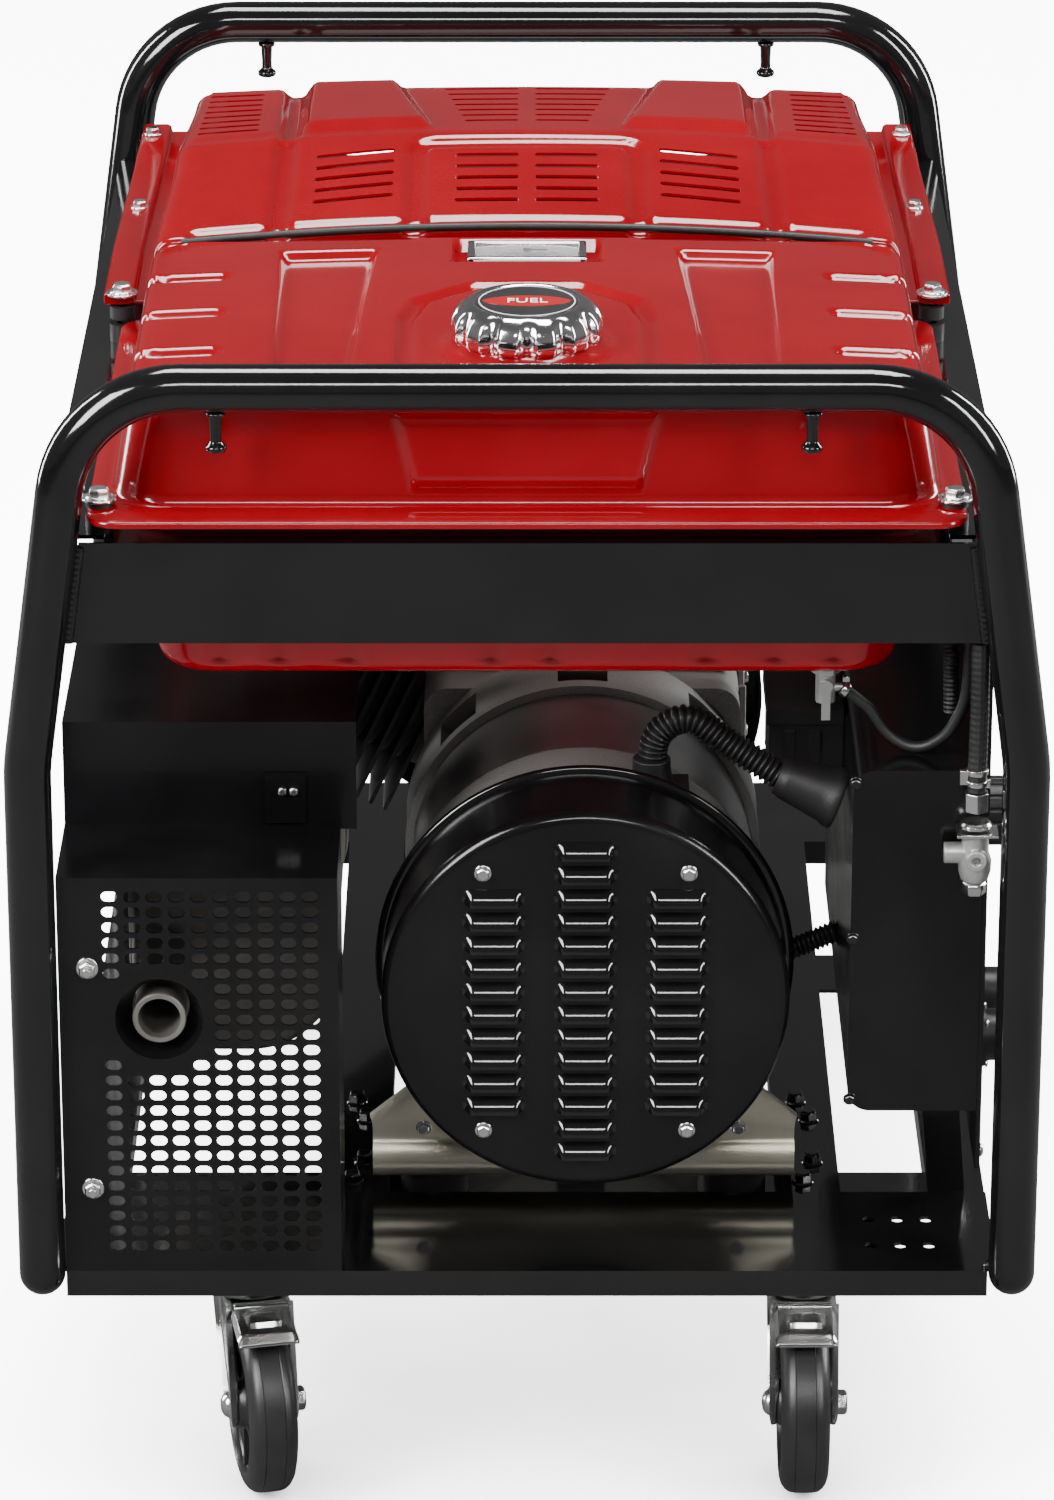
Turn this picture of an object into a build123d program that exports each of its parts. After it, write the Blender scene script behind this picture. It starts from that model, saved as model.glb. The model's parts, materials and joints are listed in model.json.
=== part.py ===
from build123d import *
import os
from math import cos, radians, sin, sqrt, tan

# Engine driven welder: a tubular roll frame on four casters carries a fuel tank, an engine
# with its alternator on one shaft, a muffler in a shield and a control box.
# Frame: X across, Y front (-) to back (+), Z up.  Origin: on the ground under the centre.
# Millimetres.

# ---------------------------------------------------------------- driving dimensions
# roll frame
tube_r = 16.0
tube_wall = 2.5
hoop_y = 447.5
leg_x = 334.5
leg_foot_z = 179.0
kink_z = 555.0
leg_lean = 7.8
kink_bend_r = 150.0
corner_bend_r = 82.0
bar_z = 822.0
weld_gap = 0.4

# base
base_top_z = 179.5
base_lip_z = 160.2
base_depth = 125.5
base_half_x = 325.0
base_sheet = 2.5
side_rail_x = 304.0
side_rail_width = 40.0
engine_rail_offset = 160.0
engine_rail_width = 44.0
beam_depth = 66.0
beam_thick = 6.0
pad_thick = 4.0

# upper frame
panel_low_z = 643.5
panel_top_z = 714.0
panel_sheet = 2.5
ledge_depth = 35.0
top_rail_x0 = 280.0
top_rail_x1 = 320.0
top_rail_sheet = 3.0
top_rail_drop = 30.0

# engine and alternator shaft line
shaft_x = 40.0
shaft_z = 370.0
shaft_r = 15.0
running_gap = 0.05
free_gap = 0.6

# alternator
cover_r = 140.0
cover_front_y = -420.0
cover_depth = 75.0
cover_sheet = 1.5
cover_edge_r = 8.0
louvre_width = 43.0
louvre_slot = 4.0
louvre_pitch = 17.2
louvre_column_pitch = 62.7
louvre_counts = (10, 14, 10)
cover_screw_x = 70.0
cover_screw_z = 96.0
bracket_r = 128.0
bracket_wall = 10.0
bracket_depth = 74.0
bearing_r = 28.0
stator_r = 122.0
stator_bore_r = 80.0
stator_length = 116.0
rotor_gap = 1.5
foot_half_x = 149.0
foot_low_z = 192.0
foot_flange_z = 214.0
foot_top_z = 262.0

# engine
case_x0 = -75.0
case_x1 = 155.0
case_y0 = -85.0
case_y1 = 150.0
case_z0 = 238.0
case_z1 = 470.0
case_wall = 9.0
cylinder_tilt = 25.0
cylinder_y = 20.0
fin_count = 9
fin_pitch = 11.5
fin_thick = 3.0
fin_size = 140.0
blower_r = 140.0
blower_depth = 70.0
blower_sheet = 2.0
recoil_r = 95.0
recoil_depth = 50.0

# muffler side
shield_x0 = -318.0
shield_x1 = -128.0
shield_top_z = 474.0
shield_back_y = -350.7
shield_sheet = 2.0
slot_length = 11.3
slot_height = 8.0
slot_pitch_x = 15.04
slot_pitch_z = 11.36
slot_columns = 10
slot_rows = 24
slot_first_x = -282.0
slot_top_row_z = 460.2
outlet_x = -250.0
outlet_z = 370.0
outlet_hole_r = 31.0
outlet_keepout = 41.0
pipe_r = 17.5
pipe_bore_r = 14.5
muffler_x0 = -275.0
muffler_x1 = -133.0
muffler_z0 = 296.0
muffler_z1 = 480.0
muffler_y0 = -338.0
muffler_y1 = -75.0
muffler_corner_r = 60.0
muffler_sheet = 1.5
heat_shield_top_z = 549.0
heat_shield_side_z = 380.0
heat_shield_x1 = -117.0

# fuel tank
tank_flange_z = 729.0
tank_flange_sheet = 2.0
tank_flange_x = 293.0
tank_flange_y0 = -436.0
tank_flange_y1 = -3.0
tank_top_z = 806.0
tank_bottom_z = 602.0
tank_sheet = 2.0
tank_corner_r = 40.0
upper_low_x, upper_low_y0, upper_low_y1 = 276.0, -425.0, -58.0
upper_top_x, upper_top_y0, upper_top_y1 = 264.0, -418.0, -62.0
lower_top_x, lower_top_y0, lower_top_y1 = 262.0, -408.0, -70.0
lower_low_x, lower_low_y0, lower_low_y1 = 250.0, -402.0, -76.0
filler_y = -322.0
neck_r = 34.0
neck_bore_r = 30.0
neck_top_z = 826.0
cap_r = 51.5
cap_top_z = 842.0
cap_lobes = 12

# hood
hood_front_y = -48.0
hood_lip_z = 792.0
hood_front_z = 808.0
hood_ridge_y = 99.0
hood_ridge_z = 836.0
hood_roof_y = 253.0
hood_roof_z = 824.0
hood_back_y = 400.0
hood_back_z = 760.0
hood_low_z = 742.0
hood_low_x = 266.0
hood_top_x = 253.0
hood_sheet = 2.0
hood_flange_x = 304.0
hood_slot = 6.0
hood_slot_pitch = 17.4
hood_rail_x0 = 283.0
hood_rail_height = 8.0

# control side
box_x0 = 220.0
box_x1 = 309.0
box_y0 = -425.0
box_y1 = -60.0
box_z0 = 291.0
box_z1 = 543.0
box_corner_r = 15.0
box_sheet = 1.5
panel_thick = 3.0
face_y0 = -428.0
face_y1 = -40.0
face_z0 = 245.0
face_z1 = 640.0

# casters
caster_x = 193.5
caster_y = 385.0
caster_trail = 35.0
caster_yaw = 12.0
wheel_r = 63.5
wheel_width = 34.0
axle_r = 5.0
fork_half_x = 22.5
fork_sheet = 3.0
crown_top_z = 150.0
crown_low_z = 138.0
crown_r = 31.0
kingpin_r = 6.0
caster_plate_x = 105.0
caster_plate_y = 85.0

# fasteners
m5_r = 2.5
m6_r = 3.0
m8_r = 4.0
hole_gap = 0.25

# ---------------------------------------------------------------- derived places
face_x = box_x1 + panel_thick
rail_centres = (shaft_x - engine_rail_offset, shaft_x + engine_rail_offset)
bracket_front_y = cover_front_y + cover_depth + 1.0
bracket_back_y = bracket_front_y + bracket_depth
stator_front_y = bracket_back_y + 1.0
stator_back_y = stator_front_y + stator_length
adapter_front_y = stator_back_y + 1.0
blower_back_y = case_y1 + 2.0
blower_front_y = blower_back_y + blower_depth
beam_back_y = -(hoop_y - base_depth) + beam_depth
isolator_low_z = base_lip_z + beam_thick
cyl_out = Vector(-cos(radians(cylinder_tilt)), 0, sin(radians(cylinder_tilt)))
cyl_up = Vector(sin(radians(cylinder_tilt)), 0, cos(radians(cylinder_tilt)))


def leg_centre_x(z):
    """Distance of the leg's centre line from the middle at a height."""
    return leg_x - max(0.0, z - kink_z) * tan(radians(leg_lean))


# ---------------------------------------------------------------- shape helpers
def block(x0, x1, y0, y1, z0, z1):
    centre = ((x0 + x1) / 2, (y0 + y1) / 2, (z0 + z1) / 2)
    return Pos(*centre) * Box(x1 - x0, y1 - y0, z1 - z0)


def rod(radius, start, direction, length):
    return extrude(Plane(origin=start, z_dir=direction) * Circle(radius), length)


def ring(outer, inner, start, direction, length):
    section = Circle(outer) - Circle(inner)
    return extrude(Plane(origin=start, z_dir=direction) * section, length)


def both_ends(shape):
    return [shape, mirror(shape, about=Plane.XZ)]


def both_sides(shape):
    return [shape, mirror(shape, about=Plane.YZ)]


def hex_bolt(seat, direction, shank_r, shank_length, head_height=None):
    """A flange bolt: washer face on the seat, shank into the part behind it."""
    height = head_height or shank_r * 1.4
    out = Vector(*direction)
    plane = Plane(origin=seat, z_dir=out)
    flange = extrude(plane * Circle(shank_r * 2.4), shank_r * 0.4)
    head = extrude(plane * RegularPolygon(shank_r * 1.9, 6), height)
    return flange + head + rod(shank_r, seat, -out, shank_length)


def bolt_hole(seat, direction, shank_r, depth):
    out = Vector(*direction)
    return rod(shank_r + hole_gap, Vector(*seat) + out * 1.0, -out, depth + 1.0)


def routed(points, radius):
    """A tube along straight runs joined by arcs as large as the runs allow."""
    points = [Vector(*p) for p in points]
    radii = []
    for before, here, after in zip(points, points[1:], points[2:]):
        run_in, run_out = here - before, after - here
        turn = radians(run_in.get_angle(run_out))
        radii.append(0.45 * min(run_in.length, run_out.length) / tan(turn / 2))
    path = FilletPolyline(*points, radius=radii)
    return sweep(Plane(origin=path @ 0, z_dir=path % 0) * Circle(radius), path=path)


def rounded_rect(x0, x1, y0, y1, z, radius):
    centre = Pos((x0 + x1) / 2, (y0 + y1) / 2, z)
    return centre * RectangleRounded(x1 - x0, y1 - y0, radius)


# ---------------------------------------------------------------- roll frame
def hoop():
    start_z = leg_foot_z
    lean = (bar_z - kink_z) * tan(radians(leg_lean))
    corner_x = leg_x - lean
    points = [(-leg_x, -hoop_y, start_z), (-leg_x, -hoop_y, kink_z), (-corner_x, -hoop_y, bar_z),
              (corner_x, -hoop_y, bar_z), (leg_x, -hoop_y, kink_z), (leg_x, -hoop_y, start_z)]
    path = FilletPolyline(*points, radius=[kink_bend_r, corner_bend_r, corner_bend_r, kink_bend_r])
    section = Circle(tube_r) - Circle(tube_r - tube_wall)
    tube = sweep(Plane(origin=path @ 0, z_dir=path % 0) * section, path=path)
    for side in (-1, 1):
        foot = Pos(side * leg_x, -hoop_y, leg_foot_z) * Sphere(tube_r)
        foot -= block(side * leg_x - 20, side * leg_x + 20, -hoop_y - 20, -hoop_y + 20, leg_foot_z, 230)
        tube += foot
    for x, _ in hanger_places:
        tube -= rod(m6_r + hole_gap, (x, -hoop_y, bar_z), (0, 0, -1), tube_r + 2)
    return tube


hanger_places = ((-204.0, 1), (187.0, 1))


def hanger_stud(x):
    low = bar_z - tube_r
    y = -hoop_y
    stud = rod(m6_r, (x, y, low + 2.0), (0, 0, -1), 24.0)
    collar = Plane(origin=(x, y, low - 0.6), z_dir=(0, 0, -1))
    stud += extrude(collar * Circle(6.5), 2.0)
    stud += rod(4.2, (x, y, low - 2.6), (0, 0, -1), 15.0)
    stud += rod(7.0, (x, y, low - 20.0), (0, 0, -1), 3.2)
    return stud


def cross_panel():
    low_half = leg_centre_x(panel_low_z) - tube_r * 1.01 - weld_gap
    top_half = leg_centre_x(panel_top_z) - tube_r * 1.01 - weld_gap
    outline = Polygon((-low_half, panel_low_z), (low_half, panel_low_z), (top_half, panel_top_z),
                      (-top_half, panel_top_z), align=None)
    face = extrude(Plane(origin=(0, -hoop_y, 0), x_dir=(1, 0, 0), z_dir=(0, -1, 0)) * outline, -panel_sheet)
    ledge_x = top_rail_x0 - 0.5
    ledge = block(-ledge_x, ledge_x, -hoop_y, -hoop_y + ledge_depth, panel_top_z - panel_sheet, panel_top_z)
    return face + ledge


def top_side_rail():
    length_y = hoop_y - tube_r - weld_gap
    top = block(top_rail_x0, top_rail_x1, -length_y, length_y, panel_top_z - top_rail_sheet, panel_top_z)
    drop_z = panel_top_z - top_rail_drop
    rail = top + block(top_rail_x1 - top_rail_sheet, top_rail_x1, -length_y, length_y, drop_z, panel_top_z)
    for x, y in tank_mounts:
        if x > 0:
            rail -= rod(m8_r + hole_gap, (x, y, panel_top_z + 1), (0, 0, -1), 10)
    return rail


tank_mounts = ((-283.5, -421.0), (283.5, -421.0), (-291.5, -17.0), (291.5, -17.0))


# ---------------------------------------------------------------- base
def base_channel():
    y0, y1 = -hoop_y, -hoop_y + base_depth
    top = block(-base_half_x, base_half_x, y0, y1, base_top_z - base_sheet, base_top_z)
    lip = block(-base_half_x, base_half_x, y0, y0 + base_sheet, base_lip_z, base_top_z)
    back = block(-base_half_x, base_half_x, y1 - base_sheet, y1, base_lip_z, base_top_z)
    channel = top + lip + back
    for side in (-1, 1):
        pad_x = side * caster_x
        channel += block(pad_x - 60, pad_x + 60, y0, y1, base_lip_z, base_lip_z + pad_thick)
        channel -= rod(tube_r + weld_gap, (side * leg_x, y0, base_lip_z - 5), (0, 0, 1), 40)
        for dx, dy in caster_bolt_offsets:
            seat = (pad_x + dx, -caster_y + dy, base_lip_z - 1)
            channel -= rod(m8_r + hole_gap, seat, (0, 0, 1), pad_thick + 2)
    for hole_x in tie_hole_x:
        for hole_y in tie_hole_y:
            channel -= rod(tie_hole_r, (hole_x, hole_y, base_top_z - 10), (0, 0, 1), 20)
    return channel


caster_bolt_offsets = ((-42, -30), (-42, 30), (42, -30), (42, 30))
tie_hole_x = (240.0, 260.0, 280.0)
tie_hole_y = (-407.0, -366.0)
tie_hole_r = 4.5


def base_rails():
    y1 = hoop_y - base_depth
    section = Rectangle(side_rail_width, base_top_z - base_lip_z)
    section -= Rectangle(side_rail_width - 5, base_top_z - base_lip_z - 5)
    middle_z = (base_top_z + base_lip_z) / 2
    solids = []
    for x in (-side_rail_x, side_rail_x):
        plane = Plane(origin=(x, -y1, middle_z), x_dir=(1, 0, 0), z_dir=(0, -1, 0))
        solids.append(extrude(plane * section, -2 * y1))
    half = engine_rail_width / 2
    for x in rail_centres:
        rail = block(x - half, x + half, -y1, y1, base_lip_z, base_top_z)
        rail -= block(x - half + 3, x + half - 3, -y1, y1, base_lip_z, base_top_z - 3)
        for y in rail_bolt_y:
            rail -= bolt_hole((x, y, base_top_z), (0, 0, 1), m8_r, 12)
        solids.append(rail)
    inner0 = rail_centres[0] + half
    inner1 = rail_centres[1] - half
    for y0, y2 in ((-y1, beam_back_y), (rear_mount_y - 33, rear_mount_y + 33)):
        beam = block(inner0, inner1, y0, y2, base_lip_z, isolator_low_z)
        for x in isolator_x:
            beam -= rod(m8_r + hole_gap, (x, (y0 + y2) / 2, base_lip_z - 1), (0, 0, 1), beam_thick + 2)
        solids.append(beam)
        solids.append(block(inner1 + 2 * half, side_rail_x - side_rail_width / 2, y0, y2, base_lip_z,
                            base_lip_z + 3))
        solids.append(block(-side_rail_x + side_rail_width / 2, inner0 - 2 * half, y0, y2, base_lip_z,
                            base_lip_z + 3))
    return solids


rail_bolt_y = (-305.0, -272.0, -201.0, -170.0)
rear_mount_y = 100.0
isolator_x = (shaft_x - 106.0, shaft_x + 106.0)
front_mount_y = (-(hoop_y - base_depth) + beam_back_y) / 2
isolator_r = 24.0


def rubber_isolators():
    solids = []
    for y in (front_mount_y, rear_mount_y):
        for x in isolator_x:
            body = rod(isolator_r, (x, y, isolator_low_z), (0, 0, 1), foot_low_z - isolator_low_z)
            body -= rod(m8_r + hole_gap, (x, y, isolator_low_z - 1), (0, 0, 1), 60)
            solids.append(body)
    return solids


# ---------------------------------------------------------------- fuel tank
def tank_flange(z0):
    plate = extrude(rounded_rect(-tank_flange_x, tank_flange_x, tank_flange_y0, tank_flange_y1, z0, 22.0),
                    tank_flange_sheet)
    for x, y in tank_mounts:
        plate -= rod(m8_r + hole_gap, (x, y, z0 - 1), (0, 0, 1), tank_flange_sheet + 2)
    return plate


def tank_upper_shell():
    low_z = tank_flange_z
    outer = loft([rounded_rect(-upper_low_x, upper_low_x, upper_low_y0, upper_low_y1, low_z, tank_corner_r),
                  rounded_rect(-upper_top_x, upper_top_x, upper_top_y0, upper_top_y1, tank_top_z,
                               tank_corner_r)])
    outer = fillet(outer.faces().sort_by(Axis.Z)[-1].edges(), 7.0)
    t = tank_sheet
    inner = loft([rounded_rect(-upper_low_x + t, upper_low_x - t, upper_low_y0 + t, upper_low_y1 - t,
                               low_z, tank_corner_r - t),
                  rounded_rect(-upper_top_x + t, upper_top_x - t, upper_top_y0 + t, upper_top_y1 - t,
                               tank_top_z - t, tank_corner_r - t)])
    inner = fillet(inner.faces().sort_by(Axis.Z)[-1].edges(), 5.0)
    shell = tank_flange(low_z) + outer
    shell += rod(60.0, (0, filler_y, tank_top_z - 1), (0, 0, 1), 5.0)
    shell += rod(neck_r, (0, filler_y, tank_top_z - 1), (0, 0, 1), neck_top_z - tank_top_z + 1)
    shell -= inner
    shell -= rod(neck_bore_r, (0, filler_y, tank_top_z - 20), (0, 0, 1), 60)
    return shell


def tank_lower_shell():
    top_z = tank_flange_z
    outer = loft([rounded_rect(-lower_low_x, lower_low_x, lower_low_y0, lower_low_y1, tank_bottom_z,
                               tank_corner_r),
                  rounded_rect(-lower_top_x, lower_top_x, lower_top_y0, lower_top_y1, top_z, tank_corner_r)])
    outer = fillet(outer.faces().sort_by(Axis.Z)[0].edges(), 12.0)
    t = tank_sheet
    inner = loft([rounded_rect(-lower_low_x + t, lower_low_x - t, lower_low_y0 + t, lower_low_y1 - t,
                               tank_bottom_z + t, tank_corner_r - t),
                  rounded_rect(-lower_top_x + t, lower_top_x - t, lower_top_y0 + t, lower_top_y1 - t,
                               top_z, tank_corner_r - t)])
    inner = fillet(inner.faces().sort_by(Axis.Z)[0].edges(), 10.0)
    shell = tank_flange(top_z - tank_flange_sheet) + outer - inner
    shell -= rod(4.0, (tap_x, tap_y, tank_bottom_z - 2), (0, 0, 1), 8)
    return shell


tap_x, tap_y = 202.0, -380.0


def tank_rubbers():
    solids = []
    low = panel_top_z
    under = tank_flange_z - tank_flange_sheet
    over = tank_flange_z + tank_flange_sheet
    for x, y in tank_mounts:
        solids.append(ring(9.5, m8_r + hole_gap, (x, y, low), (0, 0, 1), under - low))
        top = hood_low_z - hood_sheet if y > -100 else over + 4.0
        solids.append(ring(9.0, m8_r + hole_gap, (x, y, over), (0, 0, 1), top - over))
    return solids


def fuel_gauge():
    body = block(-41, 41, -118, -86, tank_top_z, tank_top_z + 8)
    return fillet(body.edges().filter_by(Axis.Z), 4.0)


def fuel_cap():
    z0 = neck_top_z - 9
    cap = rod(cap_r, (0, filler_y, z0), (0, 0, 1), cap_top_z - z0)
    cap = chamfer(cap.faces().sort_by(Axis.Z)[-1].edges(), 6.0, 9.0)
    for k in range(cap_lobes):
        spot = Pos(0, filler_y, 0) * Rot(0, 0, 360 / cap_lobes * (k + 0.5)) * Pos(cap_r + 8.5, 0, z0 - 1)
        cap -= spot * Cylinder(10.5, 40, align=(Align.CENTER, Align.CENTER, Align.MIN))
    cap -= rod(neck_r + free_gap, (0, filler_y, z0 - 1), (0, 0, 1), neck_top_z - z0 + 1)
    return cap


def fuel_cap_seal():
    plug = rod(neck_bore_r - free_gap, (0, filler_y, neck_top_z - 14), (0, 0, 1), 14)
    return plug - rod(neck_bore_r - 6, (0, filler_y, neck_top_z - 15), (0, 0, 1), 12)


# ---------------------------------------------------------------- hood
def hood_profile(inset):
    t = inset
    front = hood_front_y + t
    points = [(front, hood_low_z - t), (front, hood_front_z - t), (hood_ridge_y, hood_ridge_z - t),
              (hood_roof_y, hood_roof_z - t), (hood_back_y - t, hood_back_z - t),
              (hood_back_y - t, hood_low_z - t)]
    return Polygon(*reversed(points), align=None)


def hood_body(inset):
    side_plane = Plane(origin=(-300, 0, 0), x_dir=(0, 1, 0), z_dir=(1, 0, 0))
    long_body = extrude(side_plane * hood_profile(inset), 600)
    low_x, top_x = hood_low_x - inset, hood_top_x - inset
    section = Polygon((-low_x, hood_low_z - inset - 1), (low_x, hood_low_z - inset - 1), (top_x, 840),
                      (-top_x, 840), align=None)
    plane = Plane(origin=(0, hood_front_y - 50, 0), x_dir=(1, 0, 0), z_dir=(0, -1, 0))
    return long_body & extrude(plane * section, -600)


def hood_slots():
    cuts = []
    front_groups = ((-153.0, -96.0), (-52.0, -5.5), (5.5, 52.0), (96.0, 153.0))
    roof_groups = ((-239.0, -197.0), (197.0, 239.0))
    middle_roof_groups = ((-56.0, -5.5), (5.5, 56.0))
    for row in range(5):
        y = hood_front_y + 40 + row * hood_slot_pitch
        for x0, x1 in front_groups:
            cuts.append(block(x0, x1, y, y + hood_slot, 800, 845))
    for groups, rows, first in ((roof_groups, 8, 8), (middle_roof_groups, 7, 14)):
        for row in range(rows):
            y = hood_ridge_y + first + row * hood_slot_pitch
            for x0, x1 in groups:
                cuts.append(block(x0, x1, y, y + hood_slot, 800, 845))
    return cuts


def hood():
    body = hood_body(0) - hood_body(hood_sheet)
    body -= block(-300, 300, hood_front_y - 10, hood_front_y + 10, hood_low_z - 10, hood_lip_z)
    for side in (-1, 1):
        xs = sorted((side * (hood_low_x - hood_sheet), side * hood_flange_x))
        flange = block(xs[0], xs[1], hood_front_y + 14, hood_back_y, hood_low_z - hood_sheet, hood_low_z)
        body += flange
    body -= hood_slots()
    for x, y in hood_mounts:
        body -= rod(m6_r + hole_gap, (x, y, hood_low_z - 5), (0, 0, 1), 10)
    for x, y in tank_mounts:
        if y > -100:
            body -= rod(m8_r + hole_gap, (x, y, hood_low_z - 5), (0, 0, 1), 10)
    return body


hood_mounts = ((-291.5, 190.0), (291.5, 190.0), (-291.5, 370.0), (291.5, 370.0))


def hood_side_rail():
    y0, y1 = hood_front_y + 14, hood_back_y - 2
    top = hood_low_z + hood_rail_height
    tube = block(hood_rail_x0, hood_flange_x, y0, y1, hood_low_z, top)
    tube -= block(hood_rail_x0 + 1.5, hood_flange_x - 1.5, y0 - 1, y1 + 1, hood_low_z + 1.5, top - 1.5)
    for x, y in hood_mounts + tank_mounts:
        if x > 0 and y > -100:
            tube -= rod(m8_r + hole_gap, (x, y, hood_low_z - 5), (0, 0, 1), 20)
    return tube


def hood_spacers():
    return [ring(9.5, m6_r + hole_gap, (x, y, panel_top_z), (0, 0, 1), hood_low_z - hood_sheet - panel_top_z)
            for x, y in hood_mounts]


# ---------------------------------------------------------------- muffler side
def shield_slots():
    """Every perforation except those round the exhaust outlet."""
    places = []
    for row in range(slot_rows):
        for column in range(slot_columns):
            x = slot_first_x + column * slot_pitch_x
            z = slot_top_row_z - row * slot_pitch_z
            if sqrt((x - outlet_x) ** 2 + (z - outlet_z) ** 2) > outlet_keepout:
                places.append((x, z))
    return places


def muffler_shield():
    t = shield_sheet
    y0 = -hoop_y
    face_plane = Plane(origin=(0, y0, 0), x_dir=(1, 0, 0), z_dir=(0, -1, 0))
    middle = ((shield_x0 + shield_x1) / 2, (base_top_z + shield_top_z) / 2)
    face = Pos(*middle) * Rectangle(shield_x1 - shield_x0, shield_top_z - base_top_z)
    face -= Locations(*shield_slots()) * SlotOverall(slot_length, slot_height)
    face -= Pos(outlet_x, outlet_z) * Circle(outlet_hole_r)
    face -= Locations(*[(x, z) for x, z in shield_bolts]) * Circle(m6_r + hole_gap)
    shield = extrude(face_plane * face, -t)
    shield += block(shield_x0, shield_x1, y0, shield_back_y, shield_top_z - t, shield_top_z)
    shield += block(shield_x0, shield_x0 + t, y0, shield_back_y, base_top_z, shield_top_z)
    shield += block(shield_x1 - t, shield_x1, y0, shield_back_y, base_top_z, shield_top_z)
    funnel_wall = Polygon((outlet_hole_r - 1, 0), (outlet_hole_r + 0.5, 0), (pipe_r + 3.5, 24), (pipe_r + 2, 24),
                          align=None)
    funnel_plane = Plane(origin=(outlet_x, y0, outlet_z), x_dir=(1, 0, 0), z_dir=(0, 0, 1))
    funnel = revolve(funnel_plane * funnel_wall, axis=Axis((outlet_x, y0, outlet_z), (0, 1, 0)))
    return shield + funnel


shield_bolts = ((-298.0, 408.0), (-298.0, 243.0))


def heat_shield():
    t = shield_sheet
    y0 = shield_back_y
    y1 = muffler_y1 + 20
    x0 = shield_x0
    top = block(x0, heat_shield_x1, y0, y1, heat_shield_top_z - t, heat_shield_top_z)
    front = block(x0, heat_shield_x1, y0, y0 + t, shield_top_z - 4, heat_shield_top_z)
    side = block(x0, x0 + t, y0, y1, heat_shield_side_z, heat_shield_top_z)
    shield = top + front + side
    for x, z in tab_bolts:
        shield -= rod(m5_r + hole_gap, (x, y0 - 1, z), (0, 1, 0), t + 2)
    return shield


tab_bolts = ((-168.0, 499.0), (-160.0, 499.0))


def heat_shield_tab():
    y1 = shield_back_y
    tab = block(-180.0, -152.0, y1 - 2.0, y1, shield_top_z + 1, 512.0)
    for x, z in tab_bolts:
        tab -= rod(m5_r + hole_gap, (x, y1 - 3, z), (0, 1, 0), 4)
    return tab


def muffler():
    plane = Plane(origin=(0, muffler_y0, 0), x_dir=(1, 0, 0), z_dir=(0, -1, 0))
    middle = Pos((muffler_x0 + muffler_x1) / 2, (muffler_z0 + muffler_z1) / 2)
    wide, tall = muffler_x1 - muffler_x0, muffler_z1 - muffler_z0
    t = muffler_sheet
    outer = extrude(plane * (middle * RectangleRounded(wide, tall, muffler_corner_r)), muffler_y0 - muffler_y1)
    inner_plane = Plane(origin=(0, muffler_y0 + t, 0), x_dir=(1, 0, 0), z_dir=(0, -1, 0))
    inner_shape = middle * RectangleRounded(wide - 2 * t, tall - 2 * t, muffler_corner_r - t)
    inner = extrude(inner_plane * inner_shape, muffler_y0 - muffler_y1 + 2 * t)
    body = fillet(outer.faces().sort_by(Axis.Y)[0].edges(), 5.0) - inner
    body -= rod(pipe_bore_r, (outlet_x, muffler_y0 - 5, outlet_z), (0, 1, 0), 12)
    return body - rod(header_r - 2, (header_x, muffler_y1 - 5, header_z), (0, 1, 0), 12)


def cylinder_place(out, up, y):
    """A place by the cylinder: distance out along it, up across it, and along the shaft."""
    return Vector(shaft_x, y, shaft_z) + cyl_out * out + cyl_up * up


header_r = 16.0
header_x = cylinder_place(251, -20, 0).X
header_z = cylinder_place(251, -20, 0).Z
head_front_y = cylinder_y - 75.0


def exhaust_pipes():
    tail_length = muffler_y0 + hoop_y - 1.5
    tail = ring(pipe_r, pipe_bore_r, (outlet_x, muffler_y0, outlet_z), (0, -1, 0), tail_length)
    header = ring(header_r, header_r - 2, (header_x, muffler_y1, header_z), (0, 1, 0), head_front_y - muffler_y1)
    return [tail, header]


# ---------------------------------------------------------------- alternator
def alternator_end_cover():
    front = (shaft_x, cover_front_y, shaft_z)
    cup = rod(cover_r, front, (0, 1, 0), cover_depth)
    cup = fillet(cup.faces().sort_by(Axis.Y)[0].edges(), cover_edge_r)
    inside = rod(cover_r - cover_sheet, (shaft_x, cover_front_y + cover_sheet, shaft_z), (0, 1, 0), cover_depth)
    cup -= fillet(inside.faces().sort_by(Axis.Y)[0].edges(), cover_edge_r - cover_sheet)
    plane = Plane(origin=front, x_dir=(1, 0, 0), z_dir=(0, -1, 0))
    spots = []
    for column, count in enumerate(louvre_counts):
        x = (column - 1) * louvre_column_pitch
        spots += [(x, (row - (count - 1) / 2) * louvre_pitch) for row in range(count)]
    slot = SlotOverall(louvre_width, louvre_slot)
    cup -= [extrude(plane * Pos(x, z) * slot, -4.0) for x, z in spots]
    hole = Circle(m5_r + hole_gap)
    return cup - [extrude(plane * Pos(x, z) * hole, -4.0) for x, z in cover_screws]


cover_screws = tuple((sx * cover_screw_x, sz * cover_screw_z) for sx in (-1, 1) for sz in (-1, 1))


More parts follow.
